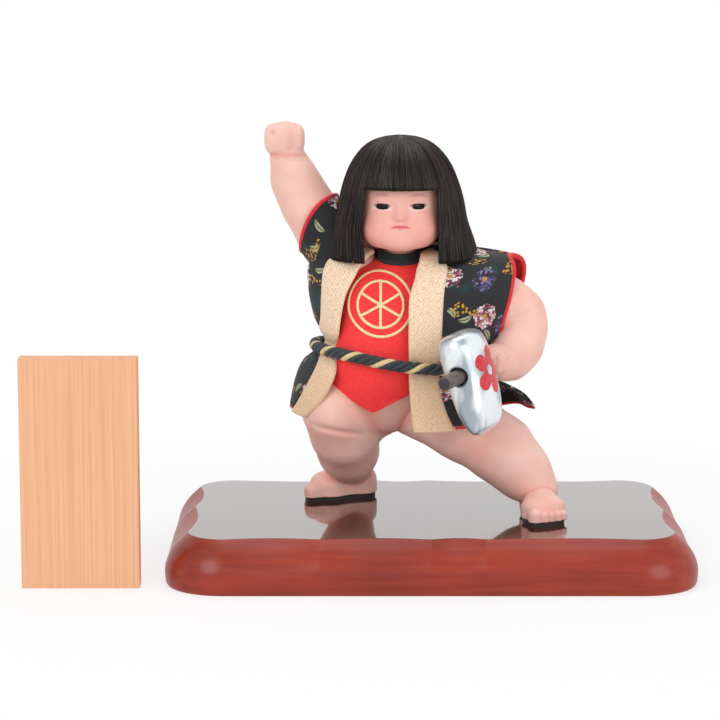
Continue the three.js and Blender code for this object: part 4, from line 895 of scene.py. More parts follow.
def threads(name, fringe, count, end_row):
    """Many thin threads down the wig, each a closed three-sided tube with its own tint."""
    share = np.sort(luck.random(count))[:, None]
    ends = end_row + luck.normal(0, 0.02, (count, 1))
    row = HAIR_TOP + (ends - HAIR_TOP) * (np.linspace(0, 1, HAIR_STEPS) ** 0.9)[None, :]
    fall = (HAIR_TOP - row) / HAIR_TOP
    wander = 0.006 * np.sin(fall * luck.uniform(4, 14, (count, 1)) + luck.uniform(0, 6.3, (count, 1)))
    angle = comb(share, row, fringe) + wander
    out = luck.uniform(-0.9, 0.5, (count, 1)) * MM + 0.35 * MM * np.sin(
        fall * luck.uniform(3, 9, (count, 1)) + luck.uniform(0, 6.3, (count, 1))
    )
    spine = hair_skin(row, angle, out)
    lifted = hair_skin(row, angle, out + MM) - spine
    along = np.gradient(spine, axis=1)
    across = np.cross(along, lifted)
    across /= np.maximum(length_of(across), 1e-12)[..., None]
    lifted /= np.maximum(length_of(lifted), 1e-12)[..., None]
    radius = HAIR_RADIUS * luck.uniform(0.6, 1.25, (count, 1, 1, 1))
    turn = np.radians([90, 210, 330])
    ring = np.cos(turn)[:, None] * across[:, :, None] + np.sin(turn)[:, None] * lifted[:, :, None]
    points = spine[:, :, None] + radius * ring
    faces = grid_faces(HAIR_STEPS, 3, closed=True)
    first = np.arange(count) * HAIR_STEPS * 3
    last = first + (HAIR_STEPS - 1) * 3
    faces = (faces[None] + first[:, None, None]).reshape(-1, 4)
    caps = [[a + 2, a + 1, a] for a in first] + [[a, a + 1, a + 2] for a in last]
    light = luck.random(count) ** 2.2
    dark, pale = np.array(linear("#130C08")), np.array(linear("#402E22"))
    tint = dark + (pale - dark) * light[:, None]
    return piece(name, points, faces, caps, paint=np.repeat(tint, HAIR_STEPS * 3, axis=0))


hair_sides = threads("hair_sides", False, SIDE_THREADS, 0)
hair_fringe = threads("hair_fringe", True, FRINGE_THREADS, fringe_row)

# Silk thread, dyed brown-black: smooth, with a soft sheen along its length. The layer under it
# lies in its shade and is duller. Both vary in streaks along the combing.
silk = grained(
    "dyed_silk_thread", [(0.3, "#B0A8A4"), (0.7, "#FFFFFF")], {"Scale": 1, "Detail": 2},
    {"Scale": (700, 700, 40)}, painted=True, Roughness=0.4, Specular_IOR_Level=0.4,
)
silk_under = grained(
    "dyed_silk_underlayer", [(0.35, "#120D0B"), (0.75, "#2E231F")], {"Scale": 1, "Detail": 3},
    {"Scale": (900, 900, 30)}, relief=(0.6, 0.3 * MM), Roughness=0.6, Specular_IOR_Level=0.2,
)
for part, finish in ((hair_sides, silk), (hair_fringe, silk), (cap_sides, silk_under), (cap_fringe, silk_under)):
    part.data.materials.append(finish)
    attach(part, "head")
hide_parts("hair")

# Bib: red silk crepe over a thin wadding, tied behind the neck and back. A ring with a wheel of
# six spokes in it, in pale gold couched thread, is sewn on its chest.
BIB = [
    [0.645, -0.158, -0.034], [0.622, -0.194, -0.02], [0.59, -0.22, -0.006], [0.52, -0.241, 0],
    [0.44, -0.252, 0.008], [0.38, -0.256, 0.004], [0.342, -0.252, -0.02], [0.308, -0.2, -0.088],
    [0.276, -0.147, -0.141],
]
BIB_THICK = 1.2 * MM
BIB_GAP = 1 * MM
torso_skin = skin_of(TORSO)


def graded(count, rim):
    """Shares from 0 to 1, closer together in the two rims, and how full the cloth is at each."""
    ends = rim * np.array([0, 0.06, 0.25, 0.6])
    shares = np.concatenate([ends, np.linspace(rim, 1 - rim, count), 1 - ends[::-1]])
    edge = np.clip(np.minimum(shares, 1 - shares) / rim, 0, 1)
    return shares, np.sqrt(1 - (1 - edge) ** 2)


def sew(made, rims_only=True):
    """Joins points that lie on each other, and turns every face outward."""
    sewn = bmesh.new()
    sewn.from_mesh(made.data)
    joined = [v for v in sewn.verts if v.is_boundary or not rims_only]
    bmesh.ops.remove_doubles(sewn, verts=joined, dist=1e-6)
    bmesh.ops.recalc_face_normals(sewn, faces=sewn.faces)
    sewn.to_mesh(made.data)
    sewn.free()


def cloth(name, skin_at, middle, thick, rows, columns, rims=(0.02, 0.02), shift=(0, 0), lined_to=1):
    """A sheet of cloth with rounded rims, as an outer and an inner face sewn along the edges.

    skin_at takes shares down and across and a distance outward. The attribute called cut holds
    each point's place on the flat cloth, in metres, so that a weave can follow it."""
    down, full_down = graded(rows, rims[0])
    across, full_across = graded(columns, rims[1])
    v, u = np.meshgrid(down, across, indexing="ij")
    full = np.outer(full_down, full_across)
    half = thick / 2
    outer = skin_at(v, u, middle + half * full)
    inner = skin_at(v, u, middle - half * full)
    step_u = length_of(np.diff(outer, axis=1))
    step_v = length_of(np.diff(outer, axis=0))
    x = np.concatenate([np.zeros((len(down), 1)), np.cumsum(step_u, axis=1)], 1)
    x -= x[:, [len(across) // 2]]
    y = np.concatenate([[0], np.cumsum(step_v.mean(axis=1))])
    cut = np.stack(np.broadcast_arrays(x + shift[0], y[:, None] + shift[1], 0 * x), -1).reshape(-1, 3)
    size = v.size
    sides = np.concatenate([grid_faces(*v.shape), grid_faces(*v.shape, start=size)[:, ::-1]])
    points = np.concatenate([outer.reshape(-1, 3), inner.reshape(-1, 3)])
    made = piece(name, points, sides, cut=np.tile(cut, (2, 1)))
    lined = np.repeat(down[:-1] < lined_to, len(across) - 1)
    made.data.polygons.foreach_set("material_index", np.concatenate([0 * lined, lined]).astype(np.int32))
    sew(made)
    return made


def on_bib(x, height, out):
    row = row_at(TORSO, height)
    return torso_skin(row, angle_at(TORSO, row, x), BIB_GAP + out)


def bib_at(v, u, out):
    height, right, left = np.moveaxis(between(BIB, v * (len(BIB) - 1)), -1, 0)
    x = right + (left - right) * u
    soft = 0.35 * MM * np.sin(7 * u + 3 * v) * np.sin(5 * v + 1) + 0.12 * MM * np.sin(31 * u + 9 * np.sin(4 * v))
    return on_bib(x, height, out + soft)


bib = cloth("crepe_bib", bib_at, BIB_THICK / 2, BIB_THICK, 120, 90, rims=(0.012, 0.016))
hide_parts("bib_panel")
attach(bib, "figure")

# Silk crepe: hard-twisted yarns pull it into fine crinkles about half a millimetre apart, drawn at
# 0.7 by 1.4 mm so that they show. Its dull face scatters the light.
crepe = grained(
    "red_silk_crepe", [(0.32, "#F21E22"), (0.62, "#FF3E3E")], {"Scale": 1, "Detail": 4, "Distortion": 0.6},
    {"Scale": (1500, 700, 1)}, cut=True, relief=(0.8, 0.35 * MM),
    Roughness=0.75, Sheen_Weight=0.25, Sheen_Roughness=0.4,
)
bib.data.materials.append(crepe)


def frame_along(spine, lift, closed):
    """Directions across a line of points and up from it, square to the line."""
    along = np.roll(spine, -1, 0) - np.roll(spine, 1, 0) if closed else np.gradient(spine, axis=0)
    along /= length_of(along)[:, None]
    up = lift - (lift * along).sum(-1)[:, None] * along
    up /= np.maximum(length_of(up), 1e-12)[:, None]
    return np.cross(along, up), up


def tube(name, spine, radius, sides, closed=False, flat=1.0, lift=(0.13, 0.21, 0.97)):
    """A cord along a line of points. Its section may be flattened against the lift direction."""
    count = len(spine)
    across, up = frame_along(spine, np.asarray(lift), closed)
    turn = 2 * np.pi * np.arange(sides) / sides
    radius = np.asarray(radius, float)
    if radius.ndim < 2:
        radius = np.broadcast_to(radius, count)[:, None]
    ring = np.cos(turn)[None, :, None] * across[:, None] + flat * np.sin(turn)[None, :, None] * up[:, None]
    points = spine[:, None] + radius[..., None] * ring
    faces = grid_faces(count, sides, closed=True)
    rim = np.arange(sides)
    last = (count - 1) * sides
    if not closed:
        return piece(name, points, faces, [rim[::-1], last + rim])
    ends = np.stack([last + rim, last + (rim + 1) % sides, (rim + 1) % sides, rim], -1)
    return piece(name, points, np.concatenate([faces, ends]))


def crest_line(name, radii, angles):
    """Couched thread laid on the bib along a line of radii and angles from the crest's middle."""
    x = CREST[0] + radii / HEIGHT * np.cos(angles)
    z = CREST[1] + radii / HEIGHT * np.sin(angles)
    closed = np.allclose(angles[0] + 2 * np.pi, angles[-1] + angles[1] - angles[0])
    spine = on_bib(x, z, BIB_THICK + 0.35 * MM)
    lift = on_bib(x, z, BIB_THICK + MM) - on_bib(x, z, 0)
    wraps = 1 + 0.13 * np.abs(np.sin(np.arange(len(x)) * np.pi / 4))
    return tube(name, spine, 0.95 * MM * wraps, 12, closed, 0.7, lift)


CREST = (-0.1255, 0.547)
CREST_RING = 0.0765 * HEIGHT
STAR_SHARE = 0.72
RING_POINTS, STAR_POINTS, SPOKE_POINTS = 640, 460, 130
circle = 2 * np.pi * np.arange(RING_POINTS) / RING_POINTS
ring = crest_line("couched_ring", np.full(RING_POINTS, CREST_RING), circle)
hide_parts("bib_ring")
star_turn = circle[:STAR_POINTS] * RING_POINTS / STAR_POINTS
star_parts = [crest_line("couched_star_rim", np.full(STAR_POINTS, STAR_SHARE * CREST_RING), star_turn)]
for ray in range(3):
    spoke = np.linspace(-1, 1, SPOKE_POINTS) * STAR_SHARE * CREST_RING
    spoke_turn = np.full(SPOKE_POINTS, np.pi / 2 + ray * np.pi / 3)
    star_parts.append(crest_line(f"couched_star_ray_{ray}", spoke, spoke_turn))
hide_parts("bib_star")

# Gold couching: flat gilt paper wound on cotton. It glints softly and shows each wrap.
gilt = grained(
    "gilt_thread", [(0.3, "#D8BE84"), (0.65, "#F6E6B8")], {"Scale": 1 / (0.5 * MM), "Detail": 2},
    relief=(0.5, 0.15 * MM), Roughness=0.5, Metallic=0.15,
)
for part in [ring] + star_parts:
    part.data.materials.append(gilt)
    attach(part, "figure")

# Neck band: a ribbed blue-black ribbon folded round the neck, over the bib's upper edge, and
# hanging a little lower in front.
BAND_LOW, BAND_TALL, BAND_SAG = 0.6475, 0.033, 0.0115
BAND_OUT = 2.3 * MM
BAND_RIBS, BAND_RIB = 5, 0.28 * MM


def band_at(v, u, out):
    angle = 2 * np.pi * u - np.pi
    sag = BAND_SAG * np.clip(np.cos(angle), 0, 1) ** 1.5
    base = torso_skin(row_at(TORSO, BAND_LOW - sag + BAND_TALL * v), angle, out + BAND_OUT)
    rib = BAND_RIB * np.sin(2 * np.pi * BAND_RIBS * v)
    base[..., :2] += rib[..., None] * np.stack([np.sin(angle), -np.cos(angle)], -1)
    return base


band = cloth("ribbed_neck_band", band_at, 0, 1.6 * MM, 60, 120, rims=(0.05, 0.003))
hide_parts("bib_neck_band")
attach(band, "figure")
ribbon = grained(
    "ribbed_cotton_ribbon", [(0.3, "#131C20"), (0.7, "#2A3A42")], {"Scale": 1 / (0.5 * MM), "Detail": 3},
    {"Scale": (1, 1.4, 1)}, cut=True, relief=(0.6, 0.2 * MM), Roughness=0.8, Sheen_Weight=0.2,
)
band.data.materials.append(ribbon)

# Coat: a short open coat of charcoal brocade, lined in red, cut as a back and two fronts joined at
# the shoulders and under the arms. It flares into folds below the rope.
COAT = [
    [0.662, 0, 0.02, -0.16, 0.006, -0.07, 0.085], [0.655, 0, 0.03, -0.205, 0.08, -0.09, 0.105],
    [0.64, 0, 0.025, -0.272, 0.205, -0.105, 0.118], [0.615, 0, 0.02, -0.31, 0.252, -0.122, 0.125],
    [0.57, 0, 0, -0.312, 0.25, -0.142, 0.135], [0.5, -0.05, 0, -0.3, 0.215, -0.156, 0.14],
    [0.45, -0.13, 0, -0.286, 0.18, -0.163, 0.142], [0.405, -0.2, 0, -0.266, 0.15, -0.156, 0.136],
    [0.378, -0.18, 0, -0.285, 0.16, -0.16, 0.141], [0.345, -0.12, 0.01, -0.325, 0.2, -0.172, 0.158],
    [0.3, -0.06, 0.018, -0.348, 0.246, -0.18, 0.178], [0.248, -0.01, 0.022, -0.36, 0.274, -0.185, 0.195],
]
RIGHT_LAPEL = [
    [-0.142, -0.156], [-0.156, -0.195], [-0.174, -0.25], [-0.19, -0.272], [-0.2155, -0.277], [-0.229, -0.278],
    [-0.2335, -0.28], [-0.236, -0.264], [-0.238, -0.276], [-0.242, -0.292], [-0.268, -0.32], [-0.318, -0.353],
]
LEFT_LAPEL = [
    [-0.026, 0], [-0.03, 0.032], [-0.036, 0.042], [-0.042, 0.038], [-0.055, 0.032], [-0.057, 0.028],
    [-0.057, 0.026], [-0.056, 0.023], [-0.056, 0.021], [-0.055, 0.024], [-0.051, 0.038], [-0.044, 0.06],
]
LEFT_FRONT_EDGE = [[1]] * 8 + [[0.95], [0.8], [0.62], [0.48]]
COAT_ROWS = 11
COAT_THICK = 1.8 * MM
ROPE_ROW = 7
ARMHOLE_ROW, ARMHOLE_REACH = 0.355 * COAT_ROWS, 0.173 * COAT_ROWS
ARMHOLE_ANGLE, ARMHOLE_MIDDLE = math.radians(25), math.radians(81.5)
QUARTER = math.pi / 2
SEAM = 0.004
UNDER_LAPEL = 0.01
BACK_LINED_TO = 0.74
coat_skin = skin_of(COAT, middle=0.03)


def armhole_edge(row, side):
    reach = np.clip((row - ARMHOLE_ROW) / ARMHOLE_REACH, -1, 1)
    edge = ARMHOLE_MIDDLE + side * ARMHOLE_ANGLE * np.sqrt(1 - reach**2)
    seam = QUARTER + side * SEAM
    return np.minimum(edge, seam) if side < 0 else np.maximum(edge, seam)


def step_up(x, low, high):
    t = np.clip((x - low) / (high - low), 0, 1)
    return t * t * (3 - 2 * t)


def coat_fold(row, angle):
    """Deep folds in the back of the skirt, and small gathers above and below the rope."""
    skirt = step_up(row, ROPE_ROW + 1, COAT_ROWS)
    back = step_up(-np.cos(angle), -0.2, 0.6)
    gathers = np.exp(-((row - ROPE_ROW) / 1.5) ** 2) * np.sin(34 * angle + 2 * np.sin(5 * angle))
    slack = np.sin(6 * angle + 1.3 * row) * np.sin(0.9 * row) * step_up(row, 0.5, 2)
    return 2.2 * MM * skirt * back * np.cos(9 * angle) + 0.35 * MM * gathers + 0.4 * MM * slack


def coat_panel(name, edges, columns, shift, lined_to=1):
    def at(v, u, out):
        row = v * COAT_ROWS
        start, end = edges(row)
        angle = start + (end - start) * u
        return coat_skin(row, angle, out + coat_fold(row, angle))

    rims = (0.006, 1 / columns)
    return cloth(name, at, -COAT_THICK / 2, COAT_THICK, 190, columns, rims, shift, lined_to)


def lapel_angles(table, row):
    inner, outer = np.moveaxis(between(table, row), -1, 0)
    return angle_at(COAT, row, inner), angle_at(COAT, row, outer)


def back_edges(row):
    return armhole_edge(row, 1), np.full(row.shape, 3 * QUARTER - SEAM)


def right_front_edges(row):
    return np.full(row.shape, -QUARTER + SEAM), lapel_angles(RIGHT_LAPEL, row)[1] + UNDER_LAPEL


def left_front_edges(row):
    outer = armhole_edge(row, -1) * between(LEFT_FRONT_EDGE, row)[..., 0]
    return lapel_angles(LEFT_LAPEL, row)[1] - UNDER_LAPEL, outer


back = coat_panel("coat_back_panel", back_edges, 220, (0.013, 0.004), BACK_LINED_TO)
front_right = coat_panel("coat_right_front", right_front_edges, 70, (0.052, 0.02))
front_left = coat_panel("coat_left_front", left_front_edges, 100, (0.101, 0.043))

# Sleeve: a short tube of the same brocade up the raised arm, cut on a slant.
SLEEVE_EDGE = place(*np.array([[-0.243, 0.05, 0.806], [-0.325, 0.06, 0.672], [-0.304, -0.025, 0.739]]).T)
sleeve_slant = np.cross(SLEEVE_EDGE[1] - SLEEVE_EDGE[0], SLEEVE_EDGE[2] - SLEEVE_EDGE[0])
arm_line = place(*np.array([[-0.217, 0.05, 0.649], [-0.322, 0.062, 0.789]]).T)
arm_axis = (arm_line[1] - arm_line[0]) / np.linalg.norm(arm_line[1] - arm_line[0])
sleeve_middle = arm_line[0] + arm_axis * ((SLEEVE_EDGE[0] - arm_line[0]) @ sleeve_slant) / (arm_axis @ sleeve_slant)
sleeve_across = np.cross([0, 1, 0], arm_axis)
sleeve_across /= np.linalg.norm(sleeve_across)
sleeve_through = np.cross(arm_axis, sleeve_across)
SLEEVE_RADIUS = 0.0715 * HEIGHT + 2.9 * MM
SLEEVE_LENGTH = 34 * MM
SLEEVE_ARCH = 4.5 * MM


def sleeve_at(v, u, out):
    angle = 2 * np.pi * u
    spoke = np.cos(angle)[..., None] * sleeve_across + np.sin(angle)[..., None] * sleeve_through
    slide = -SLEEVE_RADIUS * (spoke @ sleeve_slant) / (arm_axis @ sleeve_slant)
    slide = slide + SLEEVE_ARCH * np.clip(-spoke[..., 1], 0, 1) ** 2
    reach = slide * (1 - 0.35 * v) - SLEEVE_LENGTH * v
    radius = SLEEVE_RADIUS + out + 0.5 * MM * v * np.sin(7 * angle) * np.sin(3 * v)
    return sleeve_middle + radius[..., None] * spoke + reach[..., None] * arm_axis


sleeve = cloth("coat_right_sleeve", sleeve_at, -COAT_THICK / 2, COAT_THICK, 60, 150, (0.03, 0.002), (0.2, 0.07))
COAT_PARTS = (
    (back, "coat_back", (0.262, 0.128), ["torso"], 0.026),
    (front_right, "coat_front_right", (0.042, 0.126), ["torso"], 0.0032),
    (front_left, "coat_front_left", (0.085, 0.126), ["torso"], 0.0072),
    (sleeve, "sleeve_right", (0.142, 0.05), ["right_arm"], 0.0056),
)

# Brocade: a charcoal twill ground with flowers woven in coloured floats, half a millimetre a pick,
# drawn at 0.9 mm so that it shows. Chrysanthemums about 16 mm wide stand among grey-green leaves
# and small gold buds.
WAVE_BAND = 0.314  # a wave texture's scale times the distance between its bands
brocade, brocade_shader = finish_of("charcoal_brocade", Roughness=0.75, Sheen_Weight=0.05)
cut_node = add(brocade, "Attribute", attribute_name="cut").outputs["Vector"]


def scattered(spacing, offset, randomness):
    """Angle and distance from the nearest of many scattered middles, and that one's own colour."""
    moved = add(brocade, "Mapping", {"Vector": cut_node, "Location": (*offset, 0)})
    cells = add(
        brocade, "TexVoronoi", {"Vector": moved, "Scale": 1 / spacing, "Randomness": randomness},
        voronoi_dimensions="2D",
    )
    away = add(brocade, "VectorMath", {0: moved, 1: cells.outputs["Position"]}, operation="SUBTRACT")
    parts = add(brocade, "SeparateXYZ", {0: away})
    angle = add(brocade, "Math", {0: parts.outputs[1], 1: parts.outputs[0]}, operation="ARCTAN2")
    distance = add(brocade, "VectorMath", {0: away}, operation="LENGTH").outputs["Value"]
    return angle, distance, add(brocade, "SeparateColor", {0: cells.outputs["Color"]})


pick = add(brocade, "TexNoise", {"Vector": cut_node, "Scale": 1 / (0.8 * MM), "Detail": 2})
picks = add(brocade, "TexWave", {"Vector": cut_node, "Scale": WAVE_BAND / (0.9 * MM)}, bands_direction="DIAGONAL")
ground = add(brocade, "ValToRGB", {0: pick}, stops=[(0.3, "#0C0E11"), (0.75, "#1B1E23")])
teal_patch = add(brocade, "TexNoise", {"Vector": cut_node, "Scale": 1 / (19 * MM), "Detail": 1})
teal_share = add(brocade, "MapRange", {0: teal_patch, 1: 0.6, 2: 0.7, 3: 0, 4: 0.7})
woven = add(brocade, "Mix", {0: teal_share, 6: ground, 7: linear("#173C40")}, data_type="RGBA")

# Leaves lie across their middle at a random angle, each bent a little, with a dark vein.
LEAF_LONG, LEAF_WIDE, LEAF_BEND = 5.5 * MM, 2.1 * MM, -60
angle, distance, own = scattered(15 * MM, (0.0061, 0.0113), 0.9)
chance = add(brocade, "Math", {0: own.outputs[1], 1: 0.62}, operation="LESS_THAN")
turned = add(brocade, "Math", {0: own, 1: 6.28, 2: angle}, operation="MULTIPLY_ADD")
lengthways, sideways = (
    add(brocade, "Math", {0: add(brocade, "Math", {0: turned}, operation=part), 1: distance}, operation="MULTIPLY")
    for part in ("COSINE", "SINE")
)
bow = add(brocade, "Math", {0: lengthways, 1: 2}, operation="POWER")
sideways = add(brocade, "Math", {0: bow, 1: LEAF_BEND, 2: sideways}, operation="MULTIPLY_ADD")
sideways = add(brocade, "Math", {0: sideways}, operation="ABSOLUTE")
long_share = add(brocade, "Math", {0: lengthways, 1: 1 / LEAF_LONG}, operation="MULTIPLY")
long_share = add(brocade, "Math", {0: long_share, 1: 2}, operation="POWER")
leaf_edge = add(brocade, "Math", {0: sideways, 1: 1 / LEAF_WIDE, 2: long_share}, operation="MULTIPLY_ADD")
leaf = add(brocade, "Math", {0: leaf_edge, 1: 1}, operation="LESS_THAN")
leaf = add(brocade, "Math", {0: leaf, 1: chance}, operation="MULTIPLY")
vein = add(brocade, "Math", {0: sideways, 1: 300}, operation="MULTIPLY")
leaf_tone = add(brocade, "ValToRGB", {0: vein}, stops=[
    (0.05, "#3D4436"), (0.1, "#8F9372"), (0.4, "#BEC09C"), (0.6, "#7F8468"),
])
woven = add(brocade, "Mix", {0: leaf, 6: woven.outputs[2], 7: leaf_tone}, data_type="RGBA")

# Flowers: petals made of small bead-like floats about a gold eye, purple ones and pink ones.
FLOWER_LOW, FLOWER_HIGH, FLOWER_LOBES = 7.6 * MM, 9 * MM, 4
angle, distance, own = scattered(31 * MM, (0, 0), 0.55)
lobes = add(brocade, "Math", {0: angle, 1: FLOWER_LOBES}, operation="MULTIPLY")
lobes = add(brocade, "Math", {0: add(brocade, "Math", {0: lobes}, operation="COSINE")}, operation="ABSOLUTE")
brim = add(brocade, "MapRange", {0: lobes, 1: 0, 2: 1, 3: FLOWER_LOW, 4: FLOWER_HIGH})
across = add(brocade, "Math", {0: distance, 1: brim}, operation="DIVIDE")
flower = add(brocade, "Math", {0: across, 1: 1}, operation="LESS_THAN")
_, bead_out, bead_tone = scattered(1.9 * MM, (0.0007, 0.0002), 0.7)
purple, rose = (add(brocade, "ValToRGB", {0: bead_tone}, stops=stops) for stops in (
    [(0, "#191626"), (0.3, "#2A2440"), (0.5, "#3F3760"), (0.72, "#5F5486"), (0.9, "#8A80AC")],
    [(0, "#3A1E28"), (0.25, "#A05468"), (0.45, "#DB90A0"), (0.62, "#F3C6CC"), (0.8, "#FBF2F2")],
))
pink = add(brocade, "Math", {0: own, 1: 0.5}, operation="GREATER_THAN")
petals = add(brocade, "Mix", {0: pink, 6: purple, 7: rose}, data_type="RGBA")
gap = add(brocade, "MapRange", {0: bead_out, 1: 0.7 * MM, 2: 1.15 * MM, 3: 1, 4: 0.3})
petals = add(brocade, "Mix", {0: 1, 6: petals.outputs[2], 7: gap}, data_type="RGBA", blend_type="MULTIPLY")
eye_share = add(brocade, "Math", {0: across, 1: 0.2}, operation="LESS_THAN")
petals = add(brocade, "Mix", {0: eye_share, 6: petals.outputs[2], 7: linear("#C9942E")}, data_type="RGBA")
woven = add(brocade, "Mix", {0: flower, 6: woven.outputs[2], 7: petals.outputs[2]}, data_type="RGBA")

# Gold buds, in loose sprays.
_, distance, _ = scattered(2.9 * MM, (0.003, 0.001), 0.7)
spray = add(brocade, "TexNoise", {"Vector": cut_node, "Scale": 1 / (13 * MM), "Detail": 0})
spray = add(brocade, "Math", {0: spray, 1: 0.655}, operation="GREATER_THAN")
bud = add(brocade, "Math", {0: distance, 1: 0.95 * MM}, operation="LESS_THAN")
bud = add(brocade, "Math", {0: bud, 1: spray}, operation="MULTIPLY")
woven = add(brocade, "Mix", {0: bud, 6: woven.outputs[2], 7: linear("#D39A28")}, data_type="RGBA")

# The picks run over everything, and the floats stand proud of the ground.
floats = add(brocade, "MapRange", {0: picks, 1: 0, 2: 1, 3: 0.72, 4: 1.08})
woven = add(brocade, "Mix", {0: 1, 6: woven.outputs[2], 7: floats}, data_type="RGBA", blend_type="MULTIPLY")
raised = add(brocade, "Math", {0: leaf, 1: flower}, operation="ADD")
raised = add(brocade, "Math", {0: raised, 1: bud}, operation="ADD")
raised = add(brocade, "Math", {0: raised, 1: 0.6, 2: picks.outputs["Fac"]}, operation="MULTIPLY_ADD")
bump = add(brocade, "Bump", {"Height": raised, "Strength": 0.7, "Distance": 0.3 * MM})
add(brocade, brocade_shader, {"Base Color": woven.outputs[2], "Normal": bump})

# Lining and piping: plain red cotton, three threads to the millimetre, drawn at half that.
cotton = grained(
    "red_cotton", [(0.3, "#BE1620"), (0.7, "#E62832")], {"Scale": 1 / (0.6 * MM), "Detail": 3},
    relief=(0.5, 0.2 * MM), Roughness=0.78, Sheen_Weight=0.2,
)

for part, node, flat, under, area in COAT_PARTS:
    part.data.materials.append(brocade)
    part.data.materials.append(cotton)
    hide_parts(node)
    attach(part, "figure")


def armhole_rim(angle):
    row = ARMHOLE_ROW + ARMHOLE_REACH * np.cos(angle)
    at = ARMHOLE_MIDDLE + ARMHOLE_ANGLE * np.sin(angle)
    return coat_skin(row, at, -COAT_THICK / 2 + coat_fold(row, at))


# The piping: cord covered in the lining's cotton, round the armhole, the sleeve and the hem.
RIM_POINTS = 200
HEM_BELOW = 1.2 * MM
turns = 2 * np.pi * np.arange(RIM_POINTS) / RIM_POINTS
binding_left = tube("armhole_piping", armhole_rim(turns), 1.8 * MM, 14, closed=True)
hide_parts("binding_left")
rim_points = sleeve_at(np.zeros(RIM_POINTS), turns / (2 * np.pi), np.full(RIM_POINTS, -COAT_THICK / 2))
binding_right = tube("sleeve_piping", rim_points, 1.5 * MM, 14, closed=True)
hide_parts("binding_right")


def hem(name, node, start, end, count):
    angle = np.linspace(start + 2 * SEAM, end - 2 * SEAM, count)
    rim = coat_skin(COAT_ROWS, angle, coat_fold(np.full(count, float(COAT_ROWS)), angle) - COAT_THICK / 2)
    rim[:, 2] -= HEM_BELOW
    made = tube(name, rim, 1 * MM, 12)
    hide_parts(node)
    return made


hem_row = np.array(float(COAT_ROWS))
hem_right_end, hem_left_start = (float(lapel_angles(table, hem_row)[1]) for table in (RIGHT_LAPEL, LEFT_LAPEL))
piping = [
    binding_left, binding_right,
    hem("hem_piping_back", "hem_back", QUARTER, 3 * QUARTER, 240),
    hem("hem_piping_right", "hem_right", -QUARTER, hem_right_end, 50),
    hem("hem_piping_left", "hem_left", hem_left_start, QUARTER * LEFT_FRONT_EDGE[-1][0], 70),
]
for part in piping:
    part.data.materials.append(cotton)
    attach(part, "figure")

# Lapels and collar: one long band of thick cream twill, folded double and sewn over the coat's
# front edges and round its neck. The lapels' ends hang a little below the coat.
LAPEL_PROUD = 1.6 * MM
LAPEL_DROP = 3.5 * MM
LAPEL_THICK = COAT_THICK + LAPEL_PROUD
LAPEL_MIDDLE = (LAPEL_PROUD - COAT_THICK) / 2
COLLAR_ROWS = 1.1


def lapel_at(table):
    def at(v, u, out):
        row = v * COAT_ROWS
        inner, outer = lapel_angles(table, row)
        angle = inner + (outer - inner) * u
        plump = 0.4 * MM * np.sin(np.pi * u)
        wave = 0.3 * MM * np.sin(9 * v + 2 * u) * np.sin(4 * v)
        hung = coat_skin(row, angle, out + plump + wave)
        hung[..., 2] -= LAPEL_DROP * step_up(v, 0.8, 1)
        return hung
    return at


def collar_at(v, u, out):
    return coat_skin(v * COLLAR_ROWS, QUARTER + math.pi * u, out)


def lapel(name, table, shift):
    return cloth(name, lapel_at(table), LAPEL_MIDDLE, LAPEL_THICK, 150, 26, (0.012, 0.12), shift)


band_parts = (
    (lapel("lapel_right_band", RIGHT_LAPEL, (0, 0)), "lapel_right", (0.024, 0.128)),
    (lapel("lapel_left_band", LEFT_LAPEL, (0.05, 0.01)), "lapel_left", (0.024, 0.128)),
    (cloth("collar_band", collar_at, 1.7 * MM, 1.6 * MM, 14, 90, (0.08, 0.02), (0.1, 0.02)),
     "collar_back", (0.09, 0.012)),
)

# Cream twill: raised diagonal ribs 1.4 mm apart over a fine plain ground, a little darker towards
# the hem, with faint reddish flecks.
twill, shader = finish_of("cream_twill", Roughness=0.8, Sheen_Weight=0.2)
cut_twill = add(twill, "Attribute", attribute_name="cut").outputs["Vector"]
ribs = add(
    twill, "TexWave",
    {"Vector": cut_twill, "Scale": WAVE_BAND / (1.4 * MM), "Distortion": 4, "Detail": 2, "Detail Scale": 3},
    bands_direction="DIAGONAL",
)
yarn = add(twill, "TexNoise", {"Vector": cut_twill, "Scale": 1 / (0.6 * MM), "Detail": 3})
relief = add(twill, "Math", {0: ribs.outputs["Fac"], 1: 0.5, 2: yarn.outputs[0]}, operation="MULTIPLY_ADD")
rib_share = add(twill, "MapRange", {0: relief, 1: 0.35, 2: 0.95})
tone = add(twill, "ValToRGB", {0: rib_share}, stops=[(0.1, "#DFBD98"), (0.75, "#F6DFC2")])
down_cloth = add(twill, "SeparateXYZ", {0: cut_twill}).outputs[1]
low_down = add(twill, "MapRange", {0: down_cloth, 1: 0.07, 2: 0.12, 3: 0, 4: 0.6})
tone = add(twill, "Mix", {0: low_down, 6: tone, 7: linear("#DDB68A")}, data_type="RGBA")
flecks = add(twill, "TexNoise", {"Vector": cut_twill, "Scale": 1 / (1.8 * MM), "Detail": 2})
flecked = add(twill, "MapRange", {0: flecks, 1: 0.5, 2: 0.66, 3: 0, 4: 0.5})
tone = add(twill, "Mix", {0: flecked, 6: tone.outputs[2], 7: linear("#D59A7E")}, data_type="RGBA")
bump = add(twill, "Bump", {"Height": relief, "Strength": 0.6, "Distance": 0.3 * MM})
add(twill, shader, {"Base Color": tone.outputs[2], "Normal": bump})
for part, node, flat in band_parts:
    part.data.materials.append(twill)
    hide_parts(node)
    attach(part, "figure")

